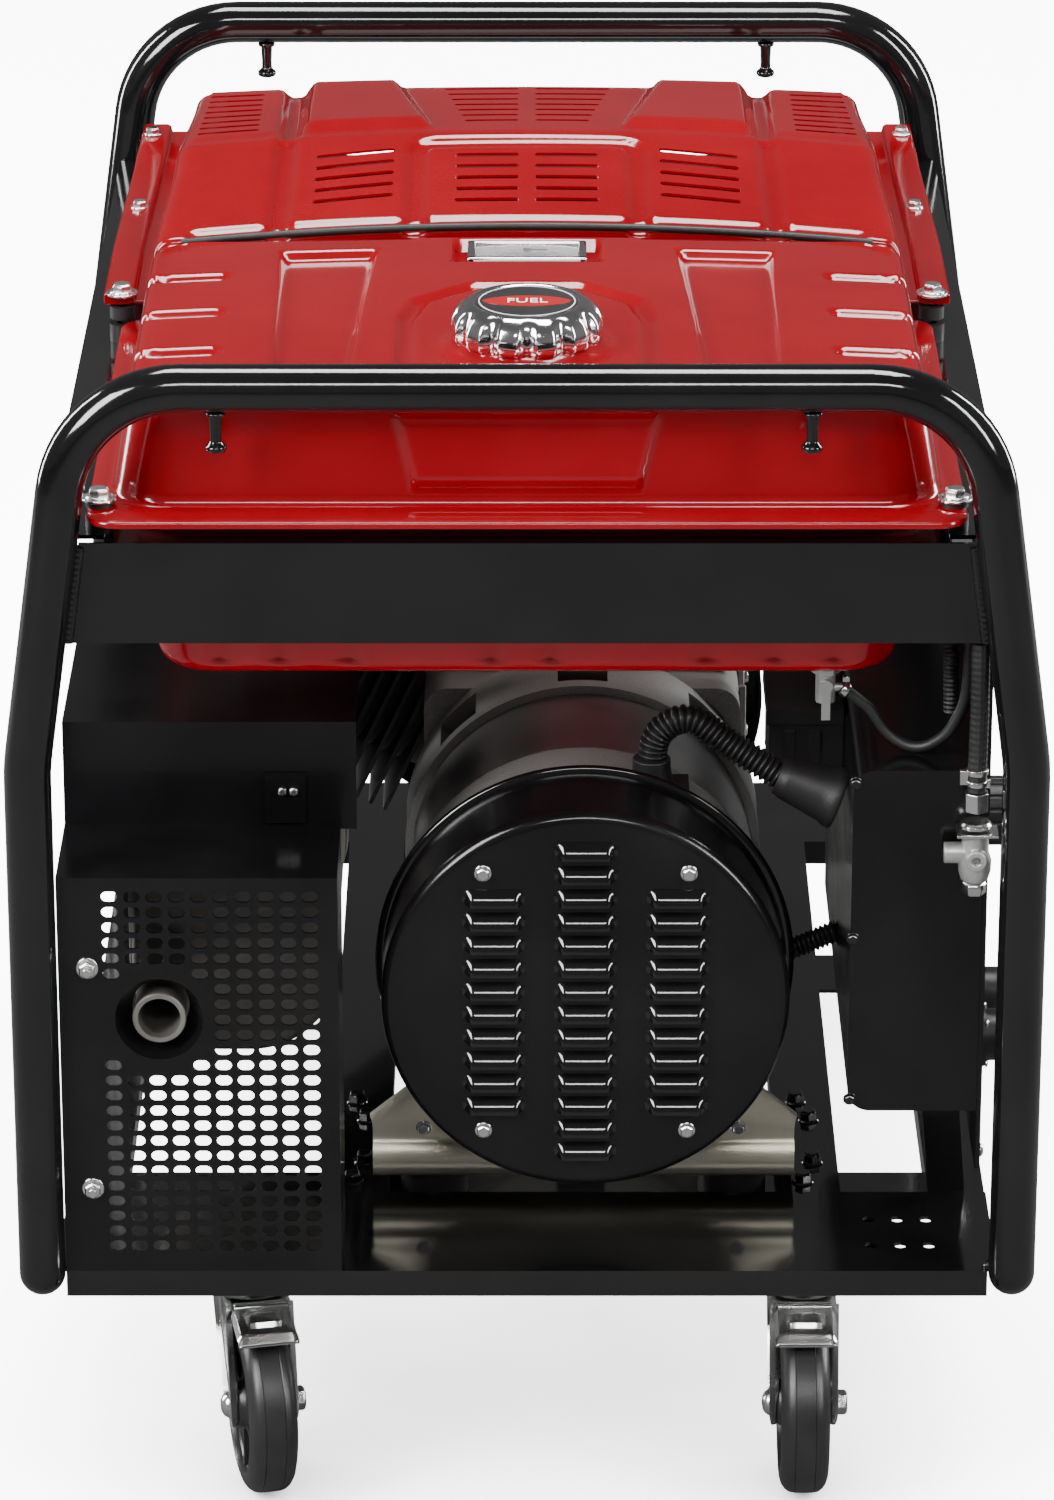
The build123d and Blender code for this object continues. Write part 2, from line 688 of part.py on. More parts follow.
def alternator_end_bracket():
    depth = bracket_depth
    front = (shaft_x, bracket_front_y, shaft_z)
    body = ring(bracket_r, bracket_r - bracket_wall, front, (0, 1, 0), depth)
    body += ring(bearing_r + 9, bearing_r, front, (0, 1, 0), 14)
    for k in range(4):
        spoke = block(bearing_r + 4, bracket_r - 4, 0, 12, -8, 8)
        body += Pos(*front) * Rot(0, 45 + 90 * k, 0) * spoke
    for x, z in cover_screws:
        start = (shaft_x + x, bracket_front_y + 3, shaft_z + z)
        body += rod(8.0, start, (0, -1, 0), bracket_front_y + 3 - cover_front_y - cover_sheet)
    for x, z in cover_screws:
        hole = (shaft_x + x, cover_front_y, shaft_z + z)
        body -= rod(m5_r + hole_gap, hole, (0, 1, 0), 30)
    return body


def bearings():
    front = ring(bearing_r, shaft_r + running_gap, (shaft_x, bracket_front_y, shaft_z), (0, 1, 0), 14)
    rear = ring(bearing_r, shaft_r + running_gap, (shaft_x, case_y0 - 6, shaft_z), (0, 1, 0), 14)
    return [front, rear]


def stator():
    return ring(stator_r, stator_bore_r, (shaft_x, stator_front_y, shaft_z), (0, 1, 0), stator_length)


def stator_windings():
    front = ring(108, 84, (shaft_x, stator_front_y, shaft_z), (0, -1, 0), 20)
    back = ring(108, 84, (shaft_x, stator_back_y, shaft_z), (0, 1, 0), 16)
    return [front, back]


def adapter_bell():
    length = case_y0 - adapter_front_y
    bell = ring(bracket_r, bracket_r - bracket_wall, (shaft_x, adapter_front_y, shaft_z), (0, 1, 0), length)
    bell += ring(bracket_r, 42, (shaft_x, case_y0 - 8, shaft_z), (0, 1, 0), 8)
    for k in range(8):
        window = Pos(shaft_x, 0, shaft_z) * Rot(0, 45 * k, 0)
        bell -= window * block(-18, 18, adapter_front_y + 12, case_y0 - 14, bracket_r - 20, bracket_r + 10)
    return bell


def alternator_foot():
    y0 = front_mount_y - 26
    plane = Plane(origin=(0, y0, 0), x_dir=(1, 0, 0), z_dir=(0, -1, 0))
    x0, x1 = shaft_x - foot_half_x, shaft_x + foot_half_x
    web = Polygon((x0, foot_flange_z - 6), (x1, foot_flange_z - 6), (x1, 232), (x1 - 36, foot_top_z),
                  (x0 + 36, foot_top_z), (x0, 232), align=None)
    foot = extrude(plane * web, -8)
    pad = block(x0, x1, front_mount_y - 28, front_mount_y + 28, foot_low_z, foot_flange_z)
    pad = fillet(pad.edges().filter_by(Axis.X), 6.0)
    foot += pad
    foot -= rod(bracket_r, (shaft_x, bracket_front_y - 20, shaft_z), (0, 1, 0), 200)
    for x in isolator_x:
        foot -= rod(m8_r + hole_gap, (x, front_mount_y, foot_low_z - 2), (0, 0, 1), 40)
    return foot


def fan_blades(y, inner, outer, length, count):
    blades = []
    for k in range(count):
        turn = Pos(shaft_x, y, shaft_z) * Rot(0, 360 / count * k, 0)
        blades.append(turn * block(inner, outer, 0, length, -1.5, 1.5))
    return blades


def rotor_and_crankshaft():
    shaft_end_y = blower_back_y + 45
    shaft_start_y = bracket_front_y - 4
    body = rod(shaft_r, (shaft_x, shaft_start_y, shaft_z), (0, 1, 0), shaft_end_y - shaft_start_y)
    core_r = stator_bore_r - rotor_gap
    body += rod(core_r, (shaft_x, stator_front_y + 2, shaft_z), (0, 1, 0), stator_length - 4)
    fan_y = adapter_front_y + 18
    body += rod(98, (shaft_x, fan_y, shaft_z), (0, 1, 0), 4)
    body += fan_blades(fan_y + 3, 60, 98, 15, 12)
    for y in (10.0, 46.0):
        body += Pos(shaft_x, y, shaft_z) * block(-26, 26, 0, 12, -62, 30)
    body += rod(14, (shaft_x, 20, shaft_z - 38), (0, 1, 0), 30)
    wheel_y = blower_back_y + 8
    body += rod(104, (shaft_x, wheel_y, shaft_z), (0, 1, 0), 14)
    body += fan_blades(wheel_y + 13, 52, 104, 20, 16)
    return body


# ---------------------------------------------------------------- engine
def crankcase():
    body = block(case_x0, case_x1, case_y0, case_y1, case_z0, case_z1)
    body = fillet(body.edges().filter_by(Axis.Y), 18.0)
    w = case_wall
    body -= block(case_x0 + w, case_x1 - w, case_y0 + w, case_y1 - w, case_z0 + w, case_z1 - w)
    body -= rod(bearing_r, (shaft_x, case_y0 - 1, shaft_z), (0, 1, 0), 9)
    body -= rod(shaft_r + running_gap, (shaft_x, case_y0, shaft_z), (0, 1, 0), 300)
    for x in isolator_x:
        body += block(x - 26, x + 26, rear_mount_y - 26, rear_mount_y + 26, foot_low_z, case_z0 + 2)
        body -= rod(m8_r + hole_gap, (x, rear_mount_y, foot_low_z - 1), (0, 0, 1), 22)
    body -= rod(dipstick_r + free_gap, (case_x1 - 20, dipstick_y, dipstick_z), (1, 0, 0), 40)
    return body


dipstick_r = 9.0
dipstick_y = -30.0
dipstick_z = 288.0


def oil_dipstick():
    plug = rod(dipstick_r, (case_x1 - 8, dipstick_y, dipstick_z), (1, 0, 0), 8)
    plug += rod(15, (case_x1 + 0.5, dipstick_y, dipstick_z), (1, 0, 0), 5)
    plug += rod(10, (case_x1, dipstick_y, dipstick_z), (1, 0, 0), 16)
    plug += block(case_x1 + 5, case_x1 + 18, dipstick_y - 3, dipstick_y + 3, dipstick_z - 12, dipstick_z + 12)
    return plug + rod(2.0, (case_x1 - 8, dipstick_y, dipstick_z), (-1, 0, 0), 60)


def cylinder_slab(out0, out1, half_up, y0, y1):
    plane = Plane(origin=cylinder_place(out0, 0, (y0 + y1) / 2), x_dir=(0, 1, 0), z_dir=cyl_out)
    return extrude(plane * Rectangle(y1 - y0, 2 * half_up), out1 - out0)


def cylinder():
    half = fin_size / 2
    barrel = rod(50, cylinder_place(90, 0, cylinder_y), cyl_out, 142)
    for k in range(fin_count):
        start = 126 + k * fin_pitch
        barrel += cylinder_slab(start, start + fin_thick, half, cylinder_y - half, cylinder_y + half)
    barrel -= block(case_x0, case_x1, case_y0, case_y1, case_z0 - 60, case_z1 + 80)
    head = cylinder_slab(232, 270, 72, cylinder_y - 75, cylinder_y + 75)
    cover = cylinder_slab(270, 298, 52, cylinder_y - 60, cylinder_y + 42)
    cover = fillet(cover.edges().filter_by(lambda e: abs((e % 0.5).dot(cyl_out)) > 0.9), 14.0)
    return [barrel, head, cover]


def spark_plug():
    base = cylinder_place(270, -24, cylinder_y + 60)
    plug = rod(8, base, cyl_out, 12)
    return plug + rod(11, cylinder_place(282, -24, cylinder_y + 60), cyl_out, 24)


def carburettor():
    plane = Plane(origin=cylinder_place(251, 72, cylinder_y + 20), x_dir=(0, 1, 0), z_dir=cyl_up)
    body = extrude(plane * RectangleRounded(46, 40, 6), 34)
    top = cylinder_place(251, 92, cylinder_y + 20)
    body += rod(17, (top.X, top.Y, top.Z), (0, 0, 1), cleaner_z0 - top.Z)
    return body


cleaner_x0, cleaner_x1 = -215.0, -65.0
cleaner_y0, cleaner_y1 = 8.0, 150.0
cleaner_z0, cleaner_z1 = 604.0, 718.0


def air_cleaner():
    body = block(cleaner_x0, cleaner_x1, cleaner_y0, cleaner_y1, cleaner_z0, cleaner_z1)
    return fillet(body.edges().filter_by(Axis.Z) + body.faces().sort_by(Axis.Z)[-1].edges(), 14.0)


choke_y = cylinder_y + 20 - 23
choke_place = cylinder_place(251, 92, choke_y)


def choke_lever():
    y = choke_y
    pivot = (choke_place.X, y, choke_place.Z)
    lever = rod(6, pivot, (0, -1, 0), 4)
    arm = block(-3.5, 3.5, -4, 0, 0, 34)
    return lever + Pos(*pivot) * arm + rod(5, (choke_place.X, y, choke_place.Z + 34), (0, -1, 0), 7)


def blower_outline(inset):
    tip = cylinder_place(262, 86 - inset, 0)
    low = cylinder_place(262, -80 + inset, 0)
    near_low = cylinder_place(0, -blower_r + inset, 0)
    near_top = cylinder_place(0, blower_r - inset, 0)
    outline = Pos(shaft_x, shaft_z) * Circle(blower_r - inset)
    return outline + Polygon((near_top.X, near_top.Z), (tip.X + inset, tip.Z), (low.X + inset, low.Z),
                             (near_low.X, near_low.Z), align=None)


def blower_housing():
    t = blower_sheet
    back = Plane(origin=(0, blower_back_y, 0), x_dir=(1, 0, 0), z_dir=(0, -1, 0))
    outer = extrude(back * blower_outline(0), -blower_depth)
    inner = extrude(back * blower_outline(t), -(blower_depth - t))
    shell = outer - inner
    shell -= rod(64, (shaft_x, blower_back_y, shaft_z), (0, 1, 0), blower_depth + 5)
    return shell


def recoil_housing():
    start = (shaft_x, blower_front_y, shaft_z)
    cup = rod(recoil_r, start, (0, 1, 0), recoil_depth)
    cup = fillet(cup.faces().sort_by(Axis.Y)[-1].edges(), 16.0)
    inside = rod(recoil_r - 2, start, (0, 1, 0), recoil_depth - 2)
    cup -= fillet(inside.faces().sort_by(Axis.Y)[-1].edges(), 14.0)
    for k in range(10):
        turn = Pos(shaft_x, 0, shaft_z) * Rot(0, 36 * k, 0)
        cup -= turn * block(34, 70, blower_front_y + recoil_depth - 10, blower_front_y + recoil_depth + 5, -6, 6)
    cup -= rod(3.5, (grip_x, blower_front_y, grip_z), (0, 1, 0), recoil_depth + 5)
    return cup


grip_x = shaft_x
grip_z = shaft_z + 76.0
grip_y = blower_front_y + recoil_depth + 0.5


def recoil_grip():
    grip = block(grip_x - 40, grip_x + 40, grip_y, grip_y + 20, grip_z - 10, grip_z + 10)
    grip = fillet(grip.edges().filter_by(Axis.X), 7.0)
    return grip + rod(2.5, (grip_x, grip_y + 2, grip_z), (0, -1, 0), 22)


def starter_motor():
    body = rod(29, (120, 30, case_z1 + 30), (0, 1, 0), 108)
    body = chamfer(body.faces().sort_by(Axis.Y)[0].edges(), 4.0)
    body += rod(14, (120 - 30, 60, case_z1 + 42), (0, 1, 0), 60)
    return body + block(100, 140, 100, 130, case_z1, case_z1 + 12)


# ---------------------------------------------------------------- control box and panel
def control_box():
    plane = Plane(origin=(0, box_y0, 0), x_dir=(1, 0, 0), z_dir=(0, -1, 0))

    def section(t):
        middle = Pos((box_x0 + box_x1) / 2, (box_z0 + box_z1) / 2)
        shape = middle * Rectangle(box_x1 - box_x0 - 2 * t, box_z1 - box_z0 - 2 * t)
        corners = shape.vertices().sort_by(Axis.X)[:2]
        return fillet(corners, box_corner_r - t)

    outer = extrude(plane * section(0), box_y0 - box_y1)
    inner_plane = Plane(origin=(0, box_y0 + box_sheet, 0), x_dir=(1, 0, 0), z_dir=(0, -1, 0))
    inner = extrude(inner_plane * section(box_sheet), box_y0 - box_y1 + 2 * box_sheet)
    box = outer - inner
    t = box_sheet
    box -= block(box_x1 - 5, box_x1 + 5, box_y0 + t, box_y1 - t, box_z0 + t, box_z1 - t)
    return box


def control_panel():
    panel = block(box_x1, face_x, face_y0, face_y1, face_z0, face_z1)
    panel = fillet(panel.edges().filter_by(Axis.X), 6.0)
    for y, z in panel_screws:
        panel -= rod(m5_r + hole_gap, (box_x1 - 1, y, z), (1, 0, 0), 6)
    panel -= rod(knob_shaft_r + free_gap, (box_x1 - 1, knob_y, knob_z), (1, 0, 0), 6)
    for y in breaker_y:
        panel -= rod(breaker_r + free_gap, (box_x1 - 1, y, breaker_z), (1, 0, 0), 6)
    panel -= rod(key_r + free_gap, (box_x1 - 1, key_y, key_z), (1, 0, 0), 6)
    reach = rocker_half_z + 1.2
    panel -= block(box_x1 - 1, face_x + 1, rocker_y - 8, rocker_y + 8, key_z - reach, key_z + reach)
    return panel


panel_screws = ((face_y0 + 12, face_z0 + 12), (face_y1 - 12, face_z0 + 12), (face_y0 + 12, face_z1 - 12),
                (face_y1 - 12, face_z1 - 12))
knob_y, knob_z, knob_r, knob_shaft_r = -356.0, 486.0, 24.0, 4.0
breaker_y, breaker_z, breaker_r = (-282.0, -246.0), 500.0, 6.0
key_y, key_z, key_r = -92.0, 500.0, 8.0
rocker_y, rocker_half_z = -140.0, 10.0
outlet_y, outlet_face_z, outlet_half = (-214.0, -116.0), 400.0, 35.0
weld_y, weld_z, weld_r = (-384.0, -312.0), 330.0, 18.0
meter_y, meter_z = -196.0, 500.0


def panel_fittings():
    """Weld output sockets, outlet bodies and the hour meter, all fixed to the panel."""
    solids = []
    for y in weld_y:
        socket = ring(weld_r, 7.0, (face_x, y, weld_z), (1, 0, 0), 24)
        socket += ring(weld_r + 4, 7.0, (face_x, y, weld_z), (1, 0, 0), 4)
        solids.append(socket)
    for y in outlet_y:
        body = block(face_x, face_x + 9, y - outlet_half, y + outlet_half, outlet_face_z - outlet_half,
                     outlet_face_z + outlet_half)
        body = fillet(body.edges().filter_by(Axis.X), 4.0)
        for dz in (-16, 16):
            for dy in (-7, 7):
                body -= block(face_x + 1, face_x + 10, y + dy - 1.2, y + dy + 1.2, outlet_face_z + dz - 4,
                              outlet_face_z + dz + 4)
        solids.append(body)
    meter = block(face_x, face_x + 5, meter_y - 24, meter_y + 24, meter_z - 12, meter_z + 12)
    solids.append(fillet(meter.edges().filter_by(Axis.X), 3.0))
    solids.append(ring(key_r + 6, key_r + free_gap, (face_x, key_y, key_z), (1, 0, 0), 4))
    return solids


def current_knob():
    knob = rod(knob_r, (face_x + 1.5, knob_y, knob_z), (1, 0, 0), 20)
    knob = fillet(knob.faces().sort_by(Axis.X)[-1].edges(), 3.0)
    for k in range(16):
        turn = Pos(0, knob_y, knob_z) * Rot(360 / 16 * k, 0, 0)
        knob -= turn * rod(2.0, (face_x - 1, knob_r + 0.8, 0), (1, 0, 0), 18)
    return knob + rod(knob_shaft_r, (face_x + 2, knob_y, knob_z), (-1, 0, 0), 16)


def breaker_button(y):
    return rod(breaker_r, (box_x1 - 6, y, breaker_z), (1, 0, 0), face_x + 8 - box_x1 + 6)


def key_switch():
    barrel = rod(key_r, (box_x1 - 8, key_y, key_z), (1, 0, 0), face_x + 5 - box_x1 + 8)
    bow = block(face_x + 5, face_x + 26, key_y - 1.5, key_y + 1.5, key_z - 9, key_z + 9)
    return barrel + fillet(bow.edges().filter_by(Axis.Y), 4.0)


def idle_switch():
    rocker = block(box_x1 - 4, face_x + 5, rocker_y - 7, rocker_y + 7, key_z - rocker_half_z,
                   key_z + rocker_half_z)
    return fillet(rocker.faces().sort_by(Axis.X)[-1].edges().filter_by(Axis.Y), 2.0)


def socket_flap(y):
    x0 = face_x + 9.5
    z1 = outlet_face_z + outlet_half
    flap = block(x0, x0 + 3, y - outlet_half + 2, y + outlet_half - 2, outlet_face_z - outlet_half + 3, z1 - 4)
    flap += rod(3.0, (x0 + 3.5, y - outlet_half + 6, z1 - 4), (0, 1, 0), 2 * outlet_half - 12)
    return flap


def box_support():
    """Bent plate that carries the control box from the base."""
    x0 = side_rail_x - side_rail_width / 2
    plane = Plane(origin=(0, -320, 0), x_dir=(1, 0, 0), z_dir=(0, -1, 0))
    leg = Polygon((x0, base_top_z), (x0 + 26, base_top_z), (box_x1 - 8, box_z0), (box_x1 - 34, box_z0),
                  align=None)
    return extrude(plane * leg, -3.0)


def rectifier_cover():
    body = block(box_x0 - 54, box_x0, -292, -212, 478, 536)
    body = fillet(body.edges().filter_by(Axis.Y), 6.0)
    return body


# ---------------------------------------------------------------- conduits and fuel line
conduit_r = 10.0
small_conduit_r = 7.5
boot_length = 38.0
conduit_route = ((86, -322, 506), (88, -323, 530), (110, -327, 546), (142, -333, 524), (180, -340, 501))
hood_seat = (86.0, -322.0)


def wiring_conduits():
    upper = routed(conduit_route, conduit_r)
    upper -= block(conduit_route[-1][0], box_x0, -380, -300, 470, 540)
    upper -= block(60, 112, -350, -300, 480, conduit_route[0][2])
    start, end = (168, -236, 322), (box_x0, -236, 344)
    run = Vector(*end) - Vector(*start)
    lower = rod(small_conduit_r, start, run, run.length)
    lower -= block(box_x0, box_x0 + 30, -260, -210, 300, 400)
    return [upper, lower]


def conduit_boots():
    end = Vector(*conduit_route[-1])
    boot_plane = Plane(origin=end, z_dir=(1, 0, 0))
    wall_plane = Plane(origin=(box_x0, end.Y, end.Z), z_dir=(1, 0, 0))
    boot = loft([boot_plane * Circle(conduit_r + 4), wall_plane * Circle(conduit_r + 11)])
    terminal_hood = block(hood_seat[0] - 16, hood_seat[0] + 16, hood_seat[1] - 16, hood_seat[1] + 18, 470, 506)
    terminal_hood = fillet(terminal_hood.edges().filter_by(Axis.Z), 8.0)
    terminal_hood -= rod(bracket_r, (shaft_x, -400, shaft_z), (0, 1, 0), 200)
    return [boot, terminal_hood]


hose_r = 3.75
sheath_r = 6.25
valve_x, valve_y = 302.0, -438.0
sheath_top_z = 640.0
valve_top_z = 534.0
tap_port_x = tap_x + 12
hose_route = ((tap_port_x, tap_y, 586), (232, -383, 572), (246, -388, 552), (266, -396, 546), (284, -402, 560),
              (296, -404, 586), (298, -404, 650), (299, -408, 676), (301, -434, 682), (valve_x, valve_y, 664),
              (valve_x, valve_y, sheath_top_z))


def fuel_hoses():
    thin = routed(hose_route, hose_r)
    thin -= block(tap_x, tap_port_x, tap_y - 8, tap_y + 8, 575, 595)
    sheathed = rod(sheath_r, (valve_x, valve_y, valve_top_z), (0, 0, 1), sheath_top_z - valve_top_z)
    return [thin, sheathed]


def fuel_fittings():
    """Tank tap, and the shut-off valve on its bracket."""
    tap = rod(7.0, (tap_x, tap_y, tank_bottom_z), (0, 0, -1), 24)
    tap += rod(3.0, (tap_x + 6, tap_y, 586), (1, 0, 0), tap_port_x - tap_x - 6)
    tap += rod(10.0, (tap_x, tap_y, tank_bottom_z), (0, 0, -1), 4)
    x, y = valve_x, valve_y
    valve = rod(10, (x, y, 466), (0, 0, 1), 37.0)
    valve += rod(7, (x, y, 503), (0, 0, 1), valve_top_z - 503)
    valve += block(x - 12, x + 15.5, y - 11, y + 9, 503, 505)
    valve += rod(7, (x - 4, y, 490), (-1, 0, 0), 12)
    valve += rod(5, (x, y - 4, 488), (0, -1, 0), 8)
    valve += extrude(Plane(origin=(x, y, 466), z_dir=(0, 0, -1)) * RegularPolygon(9, 6), 9)
    return [tap, valve]


def fuel_tap_lever():
    x, y, z = tap_x, tap_y - 7.5, 590.0
    lever = rod(4.5, (x, y, z), (0, -1, 0), 3)
    return lever + block(x - 3, x + 3, y - 3, y, z - 24, z)


def vent_tube():
    return ring(5.2, 3.8, (289, -372, 562), (0, 0, 1), panel_top_z - top_rail_sheet - 562)


# ---------------------------------------------------------------- casters
def place_caster(shape, x_side, y_side):
    """Local +Y is the trailing side; front casters trail forward, rear ones backward."""
    yaw = caster_yaw if x_side * y_side > 0 else 0.0
    turn = 180.0 if y_side < 0 else 0.0
    return Pos(x_side * caster_x, y_side * caster_y, 0) * Rot(0, 0, turn + yaw) * shape


def caster_plate():
    plate = block(-caster_plate_x / 2, caster_plate_x / 2, -caster_plate_y / 2, caster_plate_y / 2,
                  base_lip_z - 4, base_lip_z)
    plate = fillet(plate.edges().filter_by(Axis.Z), 8.0)
    plate += rod(29, (0, 0, crown_top_z + 0.2), (0, 0, 1), base_lip_z - 4 - crown_top_z - 0.2)
    plate += rod(kingpin_r, (0, 0, crown_low_z - 2), (0, 0, 1), 20)
    for dx, dy in caster_bolt_offsets:
        plate -= rod(m8_r + hole_gap, (dx, dy, base_lip_z - 6), (0, 0, 1), 8)
    return plate


def caster_fork():
    outline = Polygon((23, wheel_r - 3), (47, wheel_r + 3), (30, crown_low_z), (-27, crown_low_z), align=None)
    outline += Pos(caster_trail, wheel_r) * Circle(14)
    fork = rod(crown_r, (0, 0, crown_low_z), (0, 0, 1), crown_top_z - crown_low_z)
    fork += block(-fork_half_x, fork_half_x, -27, 30, crown_low_z - 4, crown_low_z)
    for side in (-1, 1):
        x = side * (fork_half_x - fork_sheet / 2) - fork_sheet / 2
        plane = Plane(origin=(x, 0, 0), x_dir=(0, 1, 0), z_dir=(1, 0, 0))
        fork += extrude(plane * outline, fork_sheet)
    fork += rod(axle_r, (-28, caster_trail, wheel_r), (1, 0, 0), 56)
    for start, sides in ((fork_half_x, 1), (-fork_half_x, -1)):
        plane = Plane(origin=(start, caster_trail, wheel_r), z_dir=(sides, 0, 0))
        fork += extrude(plane * RegularPolygon(9.5, 6), 8)
    fork -= rod(kingpin_r + running_gap, (0, 0, crown_low_z - 10), (0, 0, 1), 40)
    return fork


def caster_wheel():
    half = wheel_width / 2
    centre = (-half, caster_trail, wheel_r)
    tyre = rod(wheel_r, centre, (1, 0, 0), wheel_width)
    tyre = fillet(tyre.edges(), 9.0)
    tyre -= ring(wheel_r - 14, 24, (half - 5, caster_trail, wheel_r), (1, 0, 0), 6)
    tyre -= ring(wheel_r - 14, 24, (-half - 1, caster_trail, wheel_r), (1, 0, 0), 6)
    tyre += rod(15, (-half - 1.5, caster_trail, wheel_r), (1, 0, 0), wheel_width + 3)
    return tyre - rod(axle_r + running_gap, (-40, caster_trail, wheel_r), (1, 0, 0), 80)


pedal_pivot_y = 38.0
pedal_pivot_z = 139.0


def brake_pedal():
    barrel_half = fork_half_x - fork_sheet - 0.6
    pedal = block(-23, 23, pedal_pivot_y + 3, pedal_pivot_y + 38, -2, 2)
    pedal += block(-15, 15, pedal_pivot_y + 3, pedal_pivot_y + 24, 1, 7)
    pedal = Pos(0, 0, pedal_pivot_z) * Pos(0, pedal_pivot_y, 0) * Rot(-14, 0, 0) * Pos(0, -pedal_pivot_y, 0) * pedal
    pedal += rod(4.0, (-barrel_half, pedal_pivot_y, pedal_pivot_z), (1, 0, 0), 2 * barrel_half)
    return pedal


# ---------------------------------------------------------------- fasteners
def zinc_bolts():
    solids = []
    for x, z in shield_bolts:
        solids.append(hex_bolt((x, -hoop_y, z), (0, -1, 0), m6_r, 8))
    for x, z in cover_screws:
        seat = (shaft_x + x, cover_front_y, shaft_z + z)
        solids.append(hex_bolt(seat, (0, -1, 0), m5_r, 22))
    for x, z in tab_bolts:
        solids.append(rod(m5_r, (x, shield_back_y - 5, z), (0, 1, 0), 14))
    for x, y in tank_mounts:
        over = tank_flange_z + tank_flange_sheet + 4
        seat_z = hood_low_z + hood_rail_height if y > -100 else over
        solids.append(hex_bolt((x, y, seat_z), (0, 0, 1), m8_r, seat_z - panel_top_z + 8))
    for x, y in hood_mounts:
        seat_z = hood_low_z + hood_rail_height
        solids.append(hex_bolt((x, y, seat_z), (0, 0, 1), m6_r, seat_z - panel_top_z - 1))
    for y, z in panel_screws:
        solids.append(hex_bolt((face_x, y, z), (1, 0, 0), m5_r, 10))
    for x in isolator_x:
        solids.append(hex_bolt((x, front_mount_y, foot_flange_z), (0, 0, 1), m8_r, foot_flange_z - base_lip_z + 6))
        solids.append(rod(m8_r, (x, rear_mount_y, base_lip_z - 6), (0, 0, 1), foot_low_z - base_lip_z + 20))
    for x_side in (-1, 1):
        for y_side in (-1, 1):
            for dx, dy in caster_bolt_offsets:
                seat = (x_side * caster_x + dx, y_side * caster_y + dy, base_lip_z - 4)
                solids.append(hex_bolt(seat, (0, 0, -1), m8_r, 14, 5.0))
    return solids


def black_bolts():
    solids = []
    for x in rail_centres:
        for y in rail_bolt_y:
            solids.append(hex_bolt((x, y, base_top_z), (0, 0, 1), m8_r, 10, 7.0))
    for x, _ in hanger_places:
        solids += both_ends(hanger_stud(x))
    return solids


# ---------------------------------------------------------------- nodes
nodes = {
    "front_hoop": hoop(),
    "rear_hoop": mirror(hoop(), about=Plane.XZ),
    "upper_frame": both_ends(cross_panel()) + both_sides(top_side_rail()),
    "base_frame": both_ends(base_channel()) + base_rails(),
    "rubber_mounts": rubber_isolators() + tank_rubbers() + hood_spacers(),
    "fuel_tank_upper": tank_upper_shell(),
    "fuel_tank_lower": tank_lower_shell(),
    "fuel_gauge": fuel_gauge(),
    "fuel_cap": [fuel_cap(), fuel_cap_seal()],
    "hood": [hood()] + both_sides(hood_side_rail()),
    "muffler_shield": muffler_shield(),
    "heat_shield": [heat_shield(), heat_shield_tab()],
    "muffler": [muffler()] + exhaust_pipes(),
    "alternator_end_cover": alternator_end_cover(),
    "alternator_end_bracket": alternator_end_bracket(),
    "shaft_bearings": bearings(),
    "stator": [stator()] + stator_windings(),
    "adapter_bell": adapter_bell(),
    "alternator_foot": alternator_foot(),
    "rotor_and_crankshaft": rotor_and_crankshaft(),
    "crankcase": crankcase(),
    "oil_dipstick": oil_dipstick(),
    "cylinder": cylinder(),
    "spark_plug": spark_plug(),
    "carburettor": carburettor(),
    "choke_lever": choke_lever(),
    "air_cleaner": air_cleaner(),
    "blower_housing": blower_housing(),
    "recoil_housing": recoil_housing(),
    "recoil_grip": recoil_grip(),
    "starter_motor": starter_motor(),
    "control_box": [control_box(), box_support()],
    "control_panel": control_panel(),
    "panel_fittings": panel_fittings(),
    "current_knob": current_knob(),
    "key_switch": key_switch(),
    "idle_switch": idle_switch(),
    "wiring_conduits": wiring_conduits(),
    "wiring_covers": conduit_boots() + [rectifier_cover()],
    "fuel_hoses": fuel_hoses() + [vent_tube()],
    "fuel_fittings": fuel_fittings(),
    "fuel_tap_lever": fuel_tap_lever(),
    "zinc_bolts": zinc_bolts(),
    "black_bolts": black_bolts(),
}
for number, y in enumerate(breaker_y, 1):
    nodes[f"breaker_button_{number}"] = breaker_button(y)
for number, y in enumerate(outlet_y, 1):
    nodes[f"socket_flap_{number}"] = socket_flap(y)

caster_sites = {"front_left": (-1, -1), "front_right": (1, -1), "rear_left": (-1, 1), "rear_right": (1, 1)}
plates = []
for site, (x_side, y_side) in caster_sites.items():
    nodes[f"caster_fork_{site}"] = place_caster(caster_fork(), x_side, y_side)
    nodes[f"caster_wheel_{site}"] = place_caster(caster_wheel(), x_side, y_side)
    if y_side < 0:
        nodes[f"brake_pedal_{site}"] = place_caster(brake_pedal(), x_side, y_side)
    plates.append(Pos(x_side * caster_x, y_side * caster_y, 0) * caster_plate())
nodes["caster_plates"] = plates

os.makedirs("parts", exist_ok=True)
for name, shape in nodes.items():
    if isinstance(shape, list):
        shape = Compound(children=[solid for piece in shape for solid in piece.solids()])
    export_step(shape, f"parts/{name}.step")
print(len(nodes), "nodes")
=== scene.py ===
import json
from math import cos, pi, radians, sin, sqrt

import bmesh
import bpy
from mathutils import Matrix, Vector


